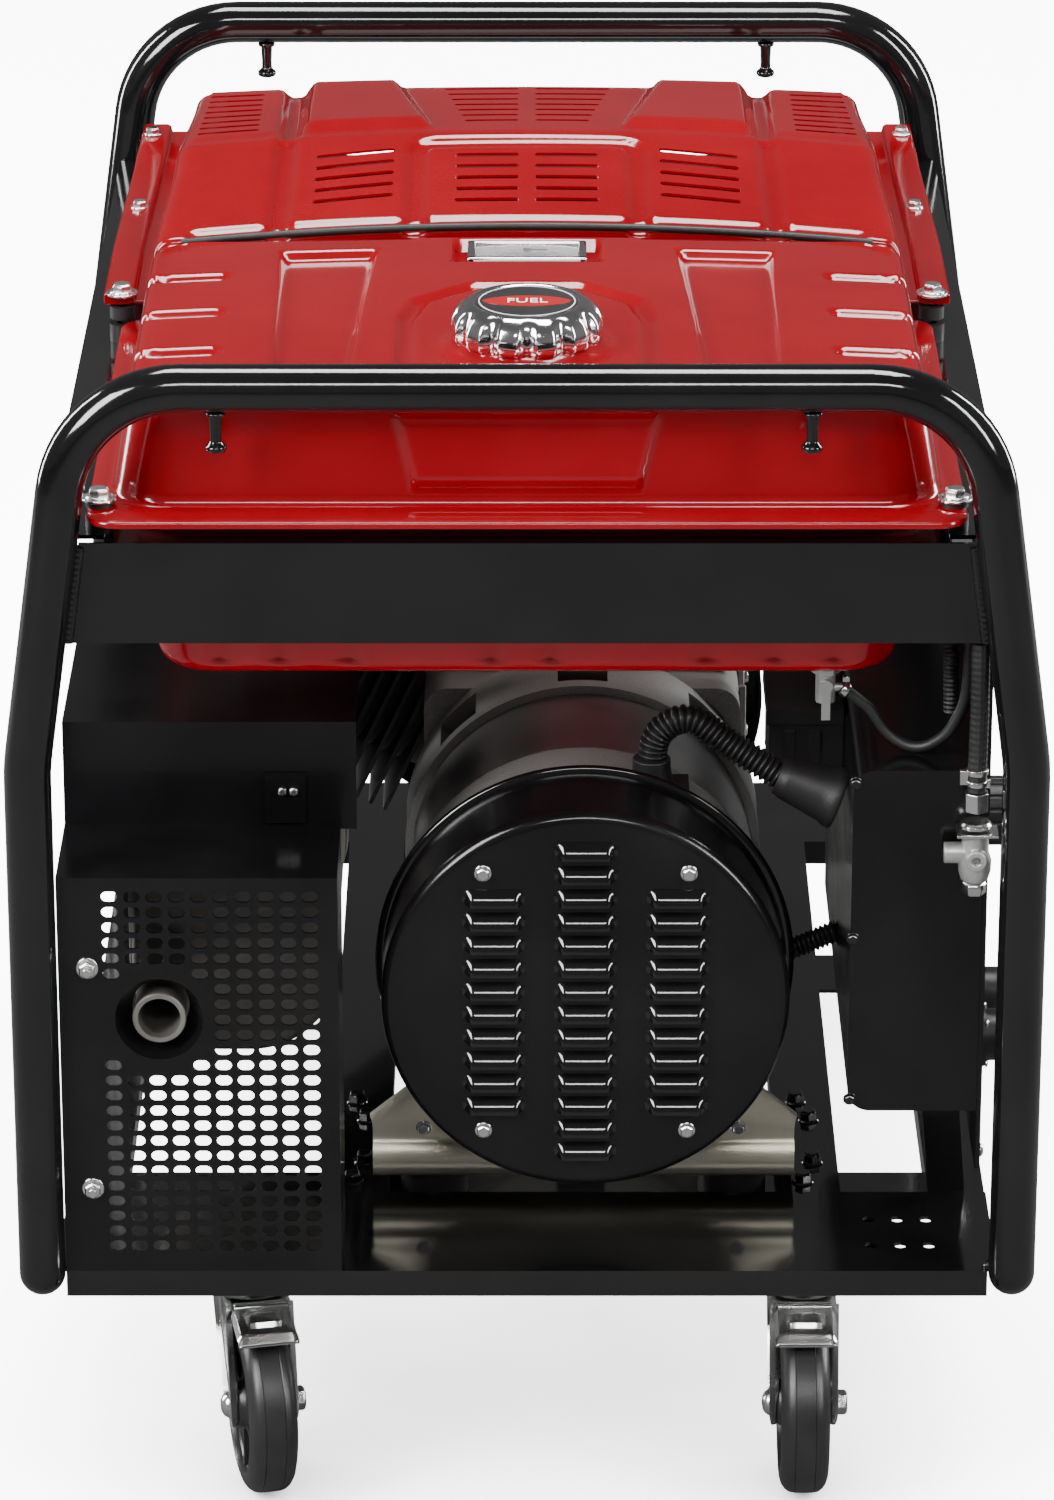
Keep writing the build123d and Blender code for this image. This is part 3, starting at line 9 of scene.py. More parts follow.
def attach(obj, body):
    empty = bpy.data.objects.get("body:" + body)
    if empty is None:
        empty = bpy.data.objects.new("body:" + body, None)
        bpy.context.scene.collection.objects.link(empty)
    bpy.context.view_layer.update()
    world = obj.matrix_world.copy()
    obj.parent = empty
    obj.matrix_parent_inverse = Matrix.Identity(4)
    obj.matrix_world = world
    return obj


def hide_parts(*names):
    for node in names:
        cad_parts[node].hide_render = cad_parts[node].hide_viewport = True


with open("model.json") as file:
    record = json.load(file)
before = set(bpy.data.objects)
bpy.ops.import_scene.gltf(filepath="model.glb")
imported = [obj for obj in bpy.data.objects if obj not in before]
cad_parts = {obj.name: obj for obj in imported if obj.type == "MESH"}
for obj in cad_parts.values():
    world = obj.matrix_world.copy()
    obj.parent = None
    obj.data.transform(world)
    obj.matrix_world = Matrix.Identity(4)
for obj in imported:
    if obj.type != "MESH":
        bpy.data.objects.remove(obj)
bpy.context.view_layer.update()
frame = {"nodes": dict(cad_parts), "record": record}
NODES = frame["nodes"]
MM = 0.001

# Places and sizes in millimetres. The tank and the alternator's end cover face -Y, the control panel +X.
SHAFT_X, SHAFT_Z = 40.0, 370.0  # the alternator's and the crankshaft's axis
TANK_MID = -241.5
TANK_RIBS = (-320.0, -238.0, -155.0)  # where ribs cross the tank's side edges, in y
TANK_EDGE = (291, 216.5, 20)  # the tank flange's half width, half length and corner
NECK_Y = -322.0
TAP_X, TAP_Y = 202.0, -380.0
VALVE_X, VALVE_Y = 302.0, -438.0
HOOP_Y, LEG_X = 447.5, 334.5
CASTER_X, CASTER_Y = 193.5, 385.0
TRAIL, AXLE_Z = 35.0, 63.5  # the axle's place behind the swivel, and its height
FORK_HALF = 19.8
FORK_WALL = 2.6
PEDAL_PIN = (0, 38, 139)
PANEL_X = 312.0
KNOB = (-356.0, 486.0)  # y and z of the current knob
WELD_SOCKETS_Y, WELD_SOCKET_Z = (-384, -312), 330
TAIL_PIPE_X = -250
CRANKCASE_SIDE = 159


# ------------------------------------------------------------------ materials
def set_inputs(node, values):
    for label, value in values.items():
        node.inputs[label].default_value = value


def add_node(nodes, kind, values=None, **settings):
    """A shader node with its settings and the inputs that differ from the defaults."""
    node = nodes.new("ShaderNode" + kind)
    for label, value in settings.items():
        setattr(node, label, value)
    set_inputs(node, values or {})
    return node


def join(links, *wires):
    """Each wire is (node, output, node, input)."""
    for source, output, sink, into in wires:
        links.new(source.outputs[output], sink.inputs[into])


def texture_group():
    """Orange peel or grain as a normal, and two masks: soft blotches and the grain itself."""
    group = bpy.data.node_groups.new("surface_texture", "ShaderNodeTree")
    for label, value in (("Scale", 100.0), ("Strength", 0.1)):
        item = group.interface.new_socket(label, in_out="INPUT", socket_type="NodeSocketFloat")
        item.default_value = value
    for label, kind in (("Normal", "NodeSocketVector"), ("Blotch", "NodeSocketFloat"), ("Fine", "NodeSocketFloat")):
        group.interface.new_socket(label, in_out="OUTPUT", socket_type=kind)
    nodes = group.nodes
    start, end = nodes.new("NodeGroupInput"), nodes.new("NodeGroupOutput")
    place = add_node(nodes, "TexCoord")
    grain = add_node(nodes, "TexNoise", {"Detail": 3.0})
    blotch = add_node(nodes, "TexNoise", {"Scale": 9.0, "Detail": 6.0, "Roughness": 0.6})
    bump = add_node(nodes, "Bump", {"Distance": 0.0005})
    join(group.links, (place, "Object", grain, "Vector"), (place, "Object", blotch, "Vector"),
         (start, "Scale", grain, "Scale"), (start, "Strength", bump, "Strength"), (grain, "Fac", bump, "Height"),
         (bump, "Normal", end, "Normal"), (blotch, "Fac", end, "Blotch"), (grain, "Fac", end, "Fine"))
    return group


TEXTURE = texture_group()


def material(name, low, high, rough, metal=0.0, coat=0.0, grain=(300.0, 0.1), spread=0.08, fine=False, **more):
    """A surface whose colour and roughness drift between limits over the piece.

    grain is (scale, strength) of the fine relief; fine makes the colour follow the grain, not the blotches.
    """
    mat = bpy.data.materials.new(name)
    mat.use_nodes = True
    nodes = mat.node_tree.nodes
    shader = nodes["Principled BSDF"]
    set_inputs(shader, {"Metallic": metal, "Coat Weight": coat, "Coat Roughness": 0.06})
    set_inputs(shader, {label.replace("_", " "): value for label, value in more.items()})
    texture = nodes.new("ShaderNodeGroup")
    texture.node_tree = TEXTURE
    set_inputs(texture, {"Scale": grain[0], "Strength": grain[1]})
    mix = add_node(nodes, "Mix", {"A": (*low, 1), "B": (*high, 1)}, data_type="RGBA")
    ramp = add_node(nodes, "MapRange", {"From Min": 0.35, "From Max": 0.65})
    dull = add_node(nodes, "MapRange", {"From Min": 0.3, "From Max": 0.7, "To Min": rough - spread,
                                        "To Max": rough + spread})
    join(mat.node_tree.links, (texture, "Fine" if fine else "Blotch", ramp, "Value"),
         (texture, "Blotch", dull, "Value"), (ramp, "Result", mix, "Factor"), (mix, "Result", shader, "Base Color"),
         (dull, "Result", shader, "Roughness"), (texture, "Normal", shader, "Normal"))
    return mat


M = {
    "frame_black": material("frame_black", (0.0025, 0.0025, 0.0028), (0.004, 0.004, 0.0043), 0.10, coat=0.5,
                            grain=(420.0, 0.06), spread=0.03),
    "red_paint": material("red_paint", (0.15, 0.0001, 0.0028), (0.175, 0.0002, 0.0034), 0.14, coat=0.35,
                          grain=(260.0, 0.05), spread=0.05),
    "satin_black": material("satin_black", (0.0025, 0.0025, 0.0028), (0.0045, 0.0045, 0.005), 0.20, coat=0.1,
                            grain=(700.0, 0.08), Specular_IOR_Level=0.3),
    "cast_grey": material("cast_grey", (0.27, 0.265, 0.25), (0.37, 0.365, 0.35), 0.40, metal=0.45,
                          grain=(900.0, 0.5), fine=True),
    # A darker copy of the cast finish: painted shade for the finned cylinder, which sits in shadow.
    "cast_painted_shade": material("cast_painted_shade", (0.035, 0.035, 0.036), (0.06, 0.06, 0.06), 0.45, metal=0.4,
                          grain=(900.0, 0.6)),
    "zinc_plate": material("zinc_plate", (0.80, 0.81, 0.80), (0.92, 0.92, 0.90), 0.22, metal=1.0,
                           grain=(500.0, 0.12), spread=0.1),
    "steel": material("steel", (0.35, 0.35, 0.35), (0.5, 0.5, 0.49), 0.35, metal=1.0, grain=(500.0, 0.2)),
    "galvanised": material("galvanised", (0.52, 0.48, 0.38), (0.66, 0.62, 0.52), 0.40, metal=0.85,
                           grain=(450.0, 0.3), spread=0.1),
    "muffler_steel": material("muffler_steel", (0.25, 0.24, 0.22), (0.40, 0.38, 0.35), 0.45, metal=0.9,
                              grain=(300.0, 0.3)),
    "rubber": material("rubber", (0.006, 0.006, 0.006), (0.012, 0.012, 0.012), 0.5, grain=(900.0, 0.3)),
    "tyre": material("tyre", (0.008, 0.008, 0.0085), (0.016, 0.016, 0.0165), 0.36, grain=(1200.0, 0.3)),
    "black_plastic": material("black_plastic", (0.006, 0.006, 0.0065), (0.011, 0.011, 0.0115), 0.36,
                              grain=(1600.0, 0.3)),
    "grey_plastic": material("grey_plastic", (0.20, 0.20, 0.21), (0.26, 0.26, 0.27), 0.45, grain=(1500.0, 0.3)),
    "gauge": material("gauge", (0.75, 0.75, 0.74), (0.8, 0.8, 0.79), 0.15, coat=1.0, grain=(300.0, 0.02)),
    "chrome": material("chrome", (0.82, 0.82, 0.82), (0.90, 0.90, 0.90), 0.12, metal=1.0, grain=(400.0, 0.02),
                       spread=0.04),
    "cap_label": material("cap_label", (0.012, 0.012, 0.012), (0.016, 0.016, 0.016), 0.3, coat=0.5),
    "print_red": material("print_red", (0.26, 0.001, 0.004), (0.28, 0.001, 0.005), 0.32, coat=0.4),
    "print_white": material("print_white", (0.7, 0.7, 0.69), (0.75, 0.75, 0.74), 0.4, coat=0.2),
    "lcd": material("lcd", (0.25, 0.29, 0.22), (0.28, 0.32, 0.25), 0.2, coat=0.6),
    "cast_bright": material("cast_bright", (0.42, 0.42, 0.41), (0.55, 0.55, 0.53), 0.38, metal=0.8,
                            grain=(900.0, 0.4)),
    "clear": material("clear", (0.9, 0.9, 0.9), (0.92, 0.92, 0.92), 0.08, spread=0.03, grain=(200.0, 0.0),
                      Transmission_Weight=0.9, IOR=1.45),
}

PAINTED_SHADE_PARTS = {"cylinder": "cast_painted_shade"}  # painted shade: the finned cylinder gets a darker cast material that stands in for the shade it sits in
for part in frame["record"]["subparts"]:
    node = NODES[part["node"]]
    node.data.materials.clear()
    node.data.materials.append(M[PAINTED_SHADE_PARTS.get(part["node"], part["material_slot"])])


# ------------------------------------------------------------------ mesh helpers
def add_object(name, data):
    obj = bpy.data.objects.new(name, data)
    bpy.context.scene.collection.objects.link(obj)
    return obj


def mesh_from(name, bm):
    mesh = bpy.data.meshes.new(name)
    bm.to_mesh(mesh)
    bm.free()
    return mesh


def round_edges(obj, width, segments=2, angle=35, harden=False):
    """A live bevel on a piece's sharp edges."""
    edge = obj.modifiers.new("edges", "BEVEL")
    edge.width = width * MM
    edge.segments = segments
    edge.limit_method = "ANGLE"
    edge.angle_limit = radians(angle)
    edge.harden_normals = harden


def finish_piece(name, bm, mat, body, stands_for=(), angle=40.0, bevel=0.0, segments=2):
    """Turns a bmesh in millimetres into a shown piece that rides on a body.

    stands_for names the CAD nodes it replaces.
    """
    bmesh.ops.scale(bm, vec=(MM, MM, MM), verts=bm.verts)
    bmesh.ops.recalc_face_normals(bm, faces=bm.faces)
    mesh = mesh_from(name, bm)
    obj = add_object(name, mesh)
    mesh.materials.append(M[mat])
    if bevel:
        round_edges(obj, bevel, segments)
    mesh.shade_smooth()
    mesh.set_sharp_from_angle(angle=radians(angle))
    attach(obj, body)
    if stands_for:
        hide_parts(*stands_for)
    return obj


def add_box(bm, x0, x1, y0, y1, z0, z1):
    made = bmesh.ops.create_cube(bm, size=1.0)["verts"]
    place = Matrix.Translation(((x0 + x1) / 2, (y0 + y1) / 2, (z0 + z1) / 2))
    bmesh.ops.transform(bm, matrix=place @ Matrix.Diagonal((x1 - x0, y1 - y0, z1 - z0, 1)), verts=made)
    return made


def turn_to(direction):
    """The turn that takes +Z to a direction."""
    return Vector((0, 0, 1)).rotation_difference(Vector(direction).normalized()).to_matrix().to_4x4()


def add_rod(bm, start, direction, length, radius, sides=32, top=None):
    """A closed cylinder, or a cone if top gives another radius, from start along direction."""
    made = bmesh.ops.create_cone(bm, cap_ends=True, segments=sides, radius1=radius,
                                 radius2=radius if top is None else top, depth=length)["verts"]
    middle = Vector(start) + Vector(direction).normalized() * length / 2
    place = Matrix.Translation(middle) @ turn_to(direction)
    bmesh.ops.transform(bm, matrix=place, verts=made)
    return made


def add_lathe(bm, profile, origin, axis, sides=64):
    """Turns (along, radius) points round an axis; the profile is closed if it ends where it starts."""
    place = Matrix.Translation(origin) @ turn_to(axis)
    rings = []
    for along, radius in profile:
        if radius < 1e-6:
            rings.append([bm.verts.new(place @ Vector((0, 0, along)))])
            continue
        rings.append([bm.verts.new(place @ Vector((radius * cos(2 * pi * k / sides),
                                                    radius * sin(2 * pi * k / sides), along)))
                      for k in range(sides)])
    skin(bm, rings)
    if profile[0] == profile[-1]:
        bmesh.ops.remove_doubles(bm, verts=rings[0] + rings[-1], dist=1e-4)


def bridge(bm, first, second):
    """Faces between two rings, or between a ring and a single middle point."""
    count = max(len(first), len(second))
    for k in range(count):
        nxt = (k + 1) % count
        if len(first) == 1:
            bm.faces.new((first[0], second[nxt], second[k]))
        elif len(second) == 1:
            bm.faces.new((first[k], first[nxt], second[0]))
        else:
            bm.faces.new((first[k], first[nxt], second[nxt], second[k]))


def skin(bm, rings):
    """Joins each ring to the next."""
    for first, second in zip(rings, rings[1:]):
        bridge(bm, first, second)


def arc_path(points, radii, steps=10):
    """Straight runs joined by arcs, as a list of points; radii is one radius or one for each corner."""
    points = [Vector(p) for p in points]
    if not isinstance(radii, (list, tuple)):
        radii = [radii] * (len(points) - 2)
    path = [points[0]]
    for before, here, after, radius in zip(points, points[1:], points[2:], radii):
        back, ahead = (before - here).normalized(), (after - here).normalized()
        half = back.angle(ahead) / 2
        slope = abs(sin(half) / cos(half))
        reach = min(radius / max(1e-6, slope), 0.49 * (before - here).length, 0.49 * (after - here).length)
        radius = reach * slope
        centre = here + (back + ahead).normalized() * (radius / sin(half))
        start, end = here + back * reach - centre, here + ahead * reach - centre
        whole = start.angle(end)
        side = start.cross(end).cross(start).normalized() * radius
        for k in range(steps + 1):
            turn = whole * k / steps
            path.append(centre + start * cos(turn) + side * sin(turn))
    path.append(points[-1])
    return path


def add_tube(bm, path, radius, sides=24, wave=None):
    """A closed tube along a list of points; wave(k) gives the radius at point k in place of radius."""
    path = [Vector(p) for p in path]
    tangent = (path[1] - path[0]).normalized()
    normal = tangent.orthogonal().normalized()
    rings = []
    for k, point in enumerate(path):
        ahead = path[min(k + 1, len(path) - 1)] - path[max(k - 1, 0)]
        fresh = ahead.normalized()
        normal = (tangent.rotation_difference(fresh) @ normal)
        normal = (normal - fresh * normal.dot(fresh)).normalized()
        tangent = fresh
        other = tangent.cross(normal)
        size = radius if wave is None else wave(k)
        rings.append([bm.verts.new(point + size * (normal * cos(2 * pi * j / sides) +
                                                   other * sin(2 * pi * j / sides))) for j in range(sides)])
    skin(bm, rings)
    bm.faces.new(rings[0][::-1])
    bm.faces.new(rings[-1])
    return rings


def resample(path, step):
    """Points at an even step along a path."""
    path = [Vector(p) for p in path]
    out, carry = [path[0]], 0.0
    for a, b in zip(path, path[1:]):
        length = (b - a).length
        place = step - carry
        while place <= length:
            out.append(a.lerp(b, place / length))
            place += step
        carry = length - (place - step)
    return out


# ------------------------------------------------------------------ light, floor and camera
SEEN_WHITE = 9.0
FILL = 0.55
REFLECTED_LOW, REFLECTED_HIGH = 0.14, 0.10
FLOOR_TONE, FLOOR_TONE_REFLECTED = 0.85, 0.09
CONTACT_REACH, CONTACT_DEPTH = 0.35, 1.6
LENS, SENSOR = 154.8, 36.0
CAMERA_PLACE, CAMERA_PITCH = (0.0, -4.4485, 2.1715), 68.15
# name, place, what it looks at, width and height, power
LAMPS = (("key", (-2.6, -2.2, 2.6), (0, -0.1, 0.5), (1.3, 2.0), 240),
         ("fill", (3.0, -2.0, 2.2), (0, 0, 0.4), (0.5, 2.2), 110),
         ("front", (0.2, -4.2, 3.6), (0, 0, 0.5), (2.4, 0.5), 90),
         ("top", (0.1, 0.3, 3.6), (0, 0.1, 0.5), (2.4, 1.0), 170),
         ("left_strip", (-2.6, 1.0, 1.4), (0, 0, 0.4), (0.35, 2.4), 110),
         ("right_strip", (2.6, 1.2, 1.4), (0, 0, 0.4), (0.35, 2.4), 110))


def world_light():
    """White to the camera, even fill for diffuse light, and a dim graded sky for reflections."""
    world = bpy.data.worlds.new("studio")
    bpy.context.scene.world = world
    world.use_nodes = True
    nodes = world.node_tree.nodes
    back = nodes["Background"]
    set_inputs(back, {"Color": (1, 1, 1, 1)})
    place = add_node(nodes, "TexCoord")
    split = add_node(nodes, "SeparateXYZ")
    sky = add_node(nodes, "MapRange", {"From Min": 0.25, "From Max": 0.75, "To Min": REFLECTED_LOW,
                                       "To Max": REFLECTED_HIGH}, interpolation_type="SMOOTHSTEP")
    path = add_node(nodes, "LightPath")
    glossy = add_node(nodes, "Mix", {"A": FILL}, data_type="FLOAT")
    seen = add_node(nodes, "Mix", {"B": SEEN_WHITE}, data_type="FLOAT")
    join(world.node_tree.links, (place, "Generated", split, "Vector"), (split, "Z", sky, "Value"),
         (path, "Is Glossy Ray", glossy, "Factor"), (sky, "Result", glossy, "B"), (glossy, "Result", seen, "A"),
         (path, "Is Camera Ray", seen, "Factor"), (seen, "Result", back, "Strength"))


def floor_surface():
    """A pale floor with a soft contact shadow; glossy paint sees it darker, as flags would make it."""
    white = bpy.data.materials.new("floor")
    white.use_nodes = True
    nodes = white.node_tree.nodes
    shader = nodes["Principled BSDF"]
    set_inputs(shader, {"Roughness": 0.9, "Specular IOR Level": 0.0, "Emission Color": (1, 1, 1, 1)})
    path = add_node(nodes, "LightPath")
    tone = add_node(nodes, "Mix", {"A": (FLOOR_TONE,) * 3 + (1,), "B": (FLOOR_TONE_REFLECTED,) * 3 + (1,)},
                    data_type="RGBA")
    contact = add_node(nodes, "AmbientOcclusion", {"Distance": CONTACT_REACH}, samples=8)
    deep = add_node(nodes, "Math", {1: CONTACT_DEPTH}, operation="POWER")
    glow = add_node(nodes, "Math", {1: SEEN_WHITE}, operation="MULTIPLY")
    both = add_node(nodes, "Math", operation="MULTIPLY")
    join(white.node_tree.links, (path, "Is Glossy Ray", tone, "Factor"), (tone, "Result", shader, "Base Color"),
         (contact, "AO", deep, 0), (path, "Is Camera Ray", glow, 0), (glow, "Value", both, 0),
         (deep, "Value", both, 1), (both, "Value", shader, "Emission Strength"))
    return white


def studio():
    world_light()
    bm = bmesh.new()
    made = bmesh.ops.create_grid(bm, x_segments=1, y_segments=1, size=40.0)["verts"]
    bmesh.ops.translate(bm, vec=(0, 0, -0.0005), verts=made)
    floor = add_object("floor", mesh_from("floor", bm))
    floor.data.materials.append(floor_surface())
    for name, place, target, shape, power in LAMPS:
        lamp = bpy.data.lights.new(name, "AREA")
        lamp.shape = "RECTANGLE"
        lamp.size, lamp.size_y = shape
        lamp.energy = power
        obj = add_object(name, lamp)
        obj.location = place
        obj.rotation_euler = (Vector(target) - Vector(place)).to_track_quat("-Z", "Y").to_euler()


def camera():
    data = bpy.data.cameras.new("camera")
    data.lens = LENS
    data.sensor_width = SENSOR
    data.clip_end = 100.0
    obj = add_object("camera", data)
    obj.location = CAMERA_PLACE
    obj.rotation_euler = (radians(CAMERA_PITCH), 0, 0)
    bpy.context.scene.camera = obj


studio()
camera()


# ------------------------------------------------------------------ pressed sheet helpers
def ease(low, high, value):
    """0 below low, 1 above high, smooth between."""
    t = min(1.0, max(0.0, (value - low) / (high - low)))
    return t * t * (3 - 2 * t)


def band(low, high, soft, value):
    """1 between low and high, falling to 0 over soft outside them."""
    return ease(low - soft, low, value) * (1 - ease(high, high + soft, value))


def near_line(x, y, points):
    """Distance from a point to a polyline."""
    best = 1e9
    for (ax, ay), (bx, by) in zip(points, points[1:]):
        dx, dy = bx - ax, by - ay
        t = max(0.0, min(1.0, ((x - ax) * dx + (y - ay) * dy) / (dx * dx + dy * dy)))
        best = min(best, sqrt((x - ax - t * dx) ** 2 + (y - ay - t * dy) ** 2))
    return best


def outline_point(side, along, half_x, half_y, corner):
    """A point on a rounded rectangle; side 0 to 3 goes right, back, left, front; along is -1 to 1."""
    cos_45 = 0.7071
    across, run = (half_x, half_y) if side in (0, 2) else (half_y, half_x)
    t = along * (run - corner + corner * cos_45)
    if abs(t) <= run - corner:
        out = across
    else:
        out = across - corner + sqrt(max(0.0, corner ** 2 - (abs(t) - run + corner) ** 2))
    return {0: (out, t), 1: (-t, out), 2: (-out, -t), 3: (t, -out)}[side]


def pressed_pan(bm, centre_y, grid, loops, height, push):
    """A pan's skin: an even grid in the middle, then rounded loops outward.

    grid is (half x, half y, count x, count y); each loop is (half x, half y, corner, z, sideways),
    outermost first, where sideways is how far the surface there faces outward, not up. height(x, y) gives the
    middle's height, and push(point, sideways, side) moves a loop's point (outward, up).
    """
    gx, gy, nx, ny = grid
    inner = {}
    for i in range(nx + 1):
        for j in range(ny + 1):
            x, y = gx * (2 * i / nx - 1), gy * (2 * j / ny - 1)
            inner[i, j] = bm.verts.new((x, y + centre_y, height(x, y + centre_y)))
    for i in range(nx):
        for j in range(ny):
            bm.faces.new((inner[i, j], inner[i + 1, j], inner[i + 1, j + 1], inner[i, j + 1]))
    edge = [(0, 2 * j / ny - 1, inner[nx, j]) for j in range(ny)]
    edge += [(1, 2 * i / nx - 1, inner[nx - i, ny]) for i in range(nx)]
    edge += [(2, 2 * j / ny - 1, inner[0, ny - j]) for j in range(ny)]
    edge += [(3, 2 * i / nx - 1, inner[i, 0]) for i in range(nx)]
    rings = []
    for half_x, half_y, corner, z, sideways in loops:
        ring = []
        for side, along, _ in edge:
            x, y = outline_point(side, along, half_x, half_y, corner)
            normal = Vector(((1, 0), (0, 1), (-1, 0), (0, -1))[side] + (0,))
            point = Vector((x, y + centre_y, z))
            out, up = push(point, sideways, side)
            ring.append(bm.verts.new(point + normal * out + Vector((0, 0, up))))
        rings.append(ring)
    rings.append([vert for _, _, vert in edge])
    skin(bm, rings)
    return rings[0]


def cut_slots(obj, slots):
    """Cuts rounded slots through a thin sheet; each slot is (x0, x1, y, width, z low, z high, slant)."""
    bm = bmesh.new()
    for x0, x1, y, width, z0, z1, slant in slots:
        r = width / 2
        outline = []
        for x, middle, first in ((x0, x0 + r, pi / 2), (x1, x1 - r, -pi / 2)):
            for k in range(9):
                turn = first + pi * k / 8
                outline.append((middle + r * cos(turn), y + slant * x + r * sin(turn)))
        low, high = ([bm.verts.new((x * MM, v * MM, z * MM)) for x, v in outline] for z in (z0, z1))
        bm.faces.new(low[::-1])
        bm.faces.new(high)
        bridge(bm, low, high)
    bmesh.ops.recalc_face_normals(bm, faces=bm.faces)
    cutter = add_object("slots", mesh_from("slots", bm))
    tool = obj.modifiers.new("slots", "BOOLEAN")
    tool.object = cutter
    tool.solver = "EXACT"
    bpy.context.view_layer.update()
    seen = obj.evaluated_get(bpy.context.evaluated_depsgraph_get())
    fresh = bpy.data.meshes.new_from_object(seen)
    obj.modifiers.clear()
    obj.data = fresh
    bpy.data.objects.remove(cutter)


# ------------------------------------------------------------------ fuel tank
WORD_DEPTH = 0.25


def crown(x, y):
    """Height of the tank's top before anything is pressed into it."""
    return 811.0 - 7.0 * (x / 262) ** 2 - 3.5 * ((y + 240) / 178) ** 2


def tank_dents(x, y):
    """How far the top is pressed down: edge ribs, side panels, the line round the cap, the gauge's pocket."""
    deep = 0.0
    rib_end, rib_round = 204.0, 10
    for rib in TANK_RIBS:
        reach, off = abs(x) - rib_end, abs(y - rib)
        span = off if reach > rib_round else sqrt(off * off + (rib_round - reach) ** 2) if reach > -12 else 99
        deep = max(deep, 5.5 * (1 - ease(2.0, 10.0, span)))
    panel_back, panel_front = -97.0, -383.0
    along = (y - panel_back) / (panel_front - panel_back)
    if -0.1 < along < 1.1:
        inner_x, outer_x = 104.0 + 14.5 * along, 175.0 - 3.2 * along
        inside = min(abs(x) - inner_x, outer_x - abs(x), panel_back - y, y - panel_front)
        deep = max(deep, 7.0 * ease(-1.0, 7.0, inside))
    rim = near_line(abs(x), y, ((82.0, -368.0), (82.0, -262.0), (73.0, -225.0), (36.0, -191.0), (0.0, -189.0)))
    deep = max(deep, 4.0 * (1 - ease(3.0, 7.5, rim)))
    pocket = min(53.0 - abs(x), y + 132.0, -69.0 - y)
    return max(deep, 8.0 * ease(-0.5, 4.0, pocket))


def tank_top(x, y):
    from_neck = sqrt(x * x + (y - NECK_Y) ** 2)
    boss = 9.0 * (1 - ease(46.0, 61.0, from_neck))
    return crown(x, y) - tank_dents(x, y) + boss


def tank_push(point, sideways, side):
    """Ribs run on over the tank's rounded edge, and the front face has a pressed panel."""
    out = up = 0.0
    if side in (0, 2) and 770 < point.z < 812:
        rib = max(1 - ease(2.0, 10.0, abs(point.y - r)) for r in TANK_RIBS)
        deep = 5.5 * rib * ease(772, 794, point.z)
        out -= deep * sideways
        up -= deep * (1 - sideways)
    if side == 3 and 740 < point.z < 800:
        wide = 75.5 + (point.z - 749.0) * 0.24
        inside = min(wide - abs(point.x), 796.0 - point.z, point.z - 746.0)
        out += 3.8 * ease(-1.5, 2.0, inside)
    if sideways < 0.5 and 803.9 < point.z < 812:
        up += crown(point.x, point.y) - 804.0
    return out, up


def tub_push(point, sideways, side):
    """Upright ribs in the lower half's walls. That half is drawn upside down, so -z is its height."""
    out = 0.0
    if 612 < -point.z < 700:
        if side in (1, 3):
            at, soft, ribs = point.x, 7.0, (-205.0, -165.0, -122.0, -25.0, 15.0, 122.0, 165.0, 205.0)
        else:
            at, soft, ribs = point.y, 8.0, (-330.0, -240.0, -150.0)
        rib = max(1 - ease(3.0, soft, abs(at - place)) for place in ribs)
        out -= 4.5 * rib * (1 - ease(676, 696, -point.z))
    return out * sideways, 0.0


def pan_wall(half_x, half_y, corner, z, lean_x, lean_y, rise, steps):
    """Loops up a wall that leans inward over its rise, without its two ends."""
    return [(half_x - lean_x * t, half_y - lean_y * t, corner, z + rise * t, 1)
            for t in [k / steps for k in range(1, steps)]]


def pan_round(half_x, half_y, corner, z, radius):
    """Loops over the rounded edge from a wall to the flat."""
    return [(half_x - radius + radius * cos(turn), half_y - radius + radius * cos(turn),
             corner - radius * (1 - cos(turn)), z + radius * sin(turn), cos(turn))
            for turn in [pi / 2 * k / 8 for k in range(9)]]


def tank_upper():
    bm = bmesh.new()
    loops = [(*TANK_EDGE, 729.0, 0), (*TANK_EDGE, 731.2, 0), (290, 215.5, 19, 732.0, 0),
             (281, 190, 42, 732.0, 0), (277.5, 186.5, 40, 733.0, 0), (276, 184.5, 39, 736.0, 1)]
    loops += pan_wall(276, 184.5, 39, 736, 10.5, 5.5, 60, 13) + pan_round(265.5, 179, 38, 795, 9)
    loops.append((251, 165, 27, 804.0, 0.0))
    outer = pressed_pan(bm, TANK_MID, (246.0, 160.0, 196, 128), loops, tank_top, tank_push)
    bm.faces.new(outer[::-1])
    finish_piece("tank_upper_skin", bm, "red_paint", "frame", ("fuel_tank_upper",), angle=60)


def tank_lower():
    bm = bmesh.new()
    loops = [(*TANK_EDGE, -729.0, 0), (*TANK_EDGE, -727.2, 0), (290, 215.5, 19, -726.6, 0),
             (268, 178, 42, -726.6, 0), (264.0, 172.0, 40, -725.0, 0.5), (262, 169.0, 38, -721.0, 1)]
    loops += pan_wall(262, 169, 38, -721, 12, 6, 105, 15) + pan_round(250, 163, 38, -616, 14)
    outer = pressed_pan(bm, TANK_MID + 2, (228.0, 141.0, 60, 40), loops, lambda x, y: -602.0, tub_push)
    bm.faces.new(outer[::-1])
    for vert in bm.verts:
        vert.co.z = -vert.co.z
    finish_piece("tank_lower_skin", bm, "red_paint", "frame", ("fuel_tank_lower",), angle=60)


def fuel_neck():
    bm = bmesh.new()
    add_lathe(bm, [(0, 0), (0, 36), (13, 35), (19, 33), (19, 30), (4, 30), (4, 0)], (0, NECK_Y, 806), (0, 0, 1))
    finish_piece("filler_neck", bm, "zinc_plate", "frame", angle=30)


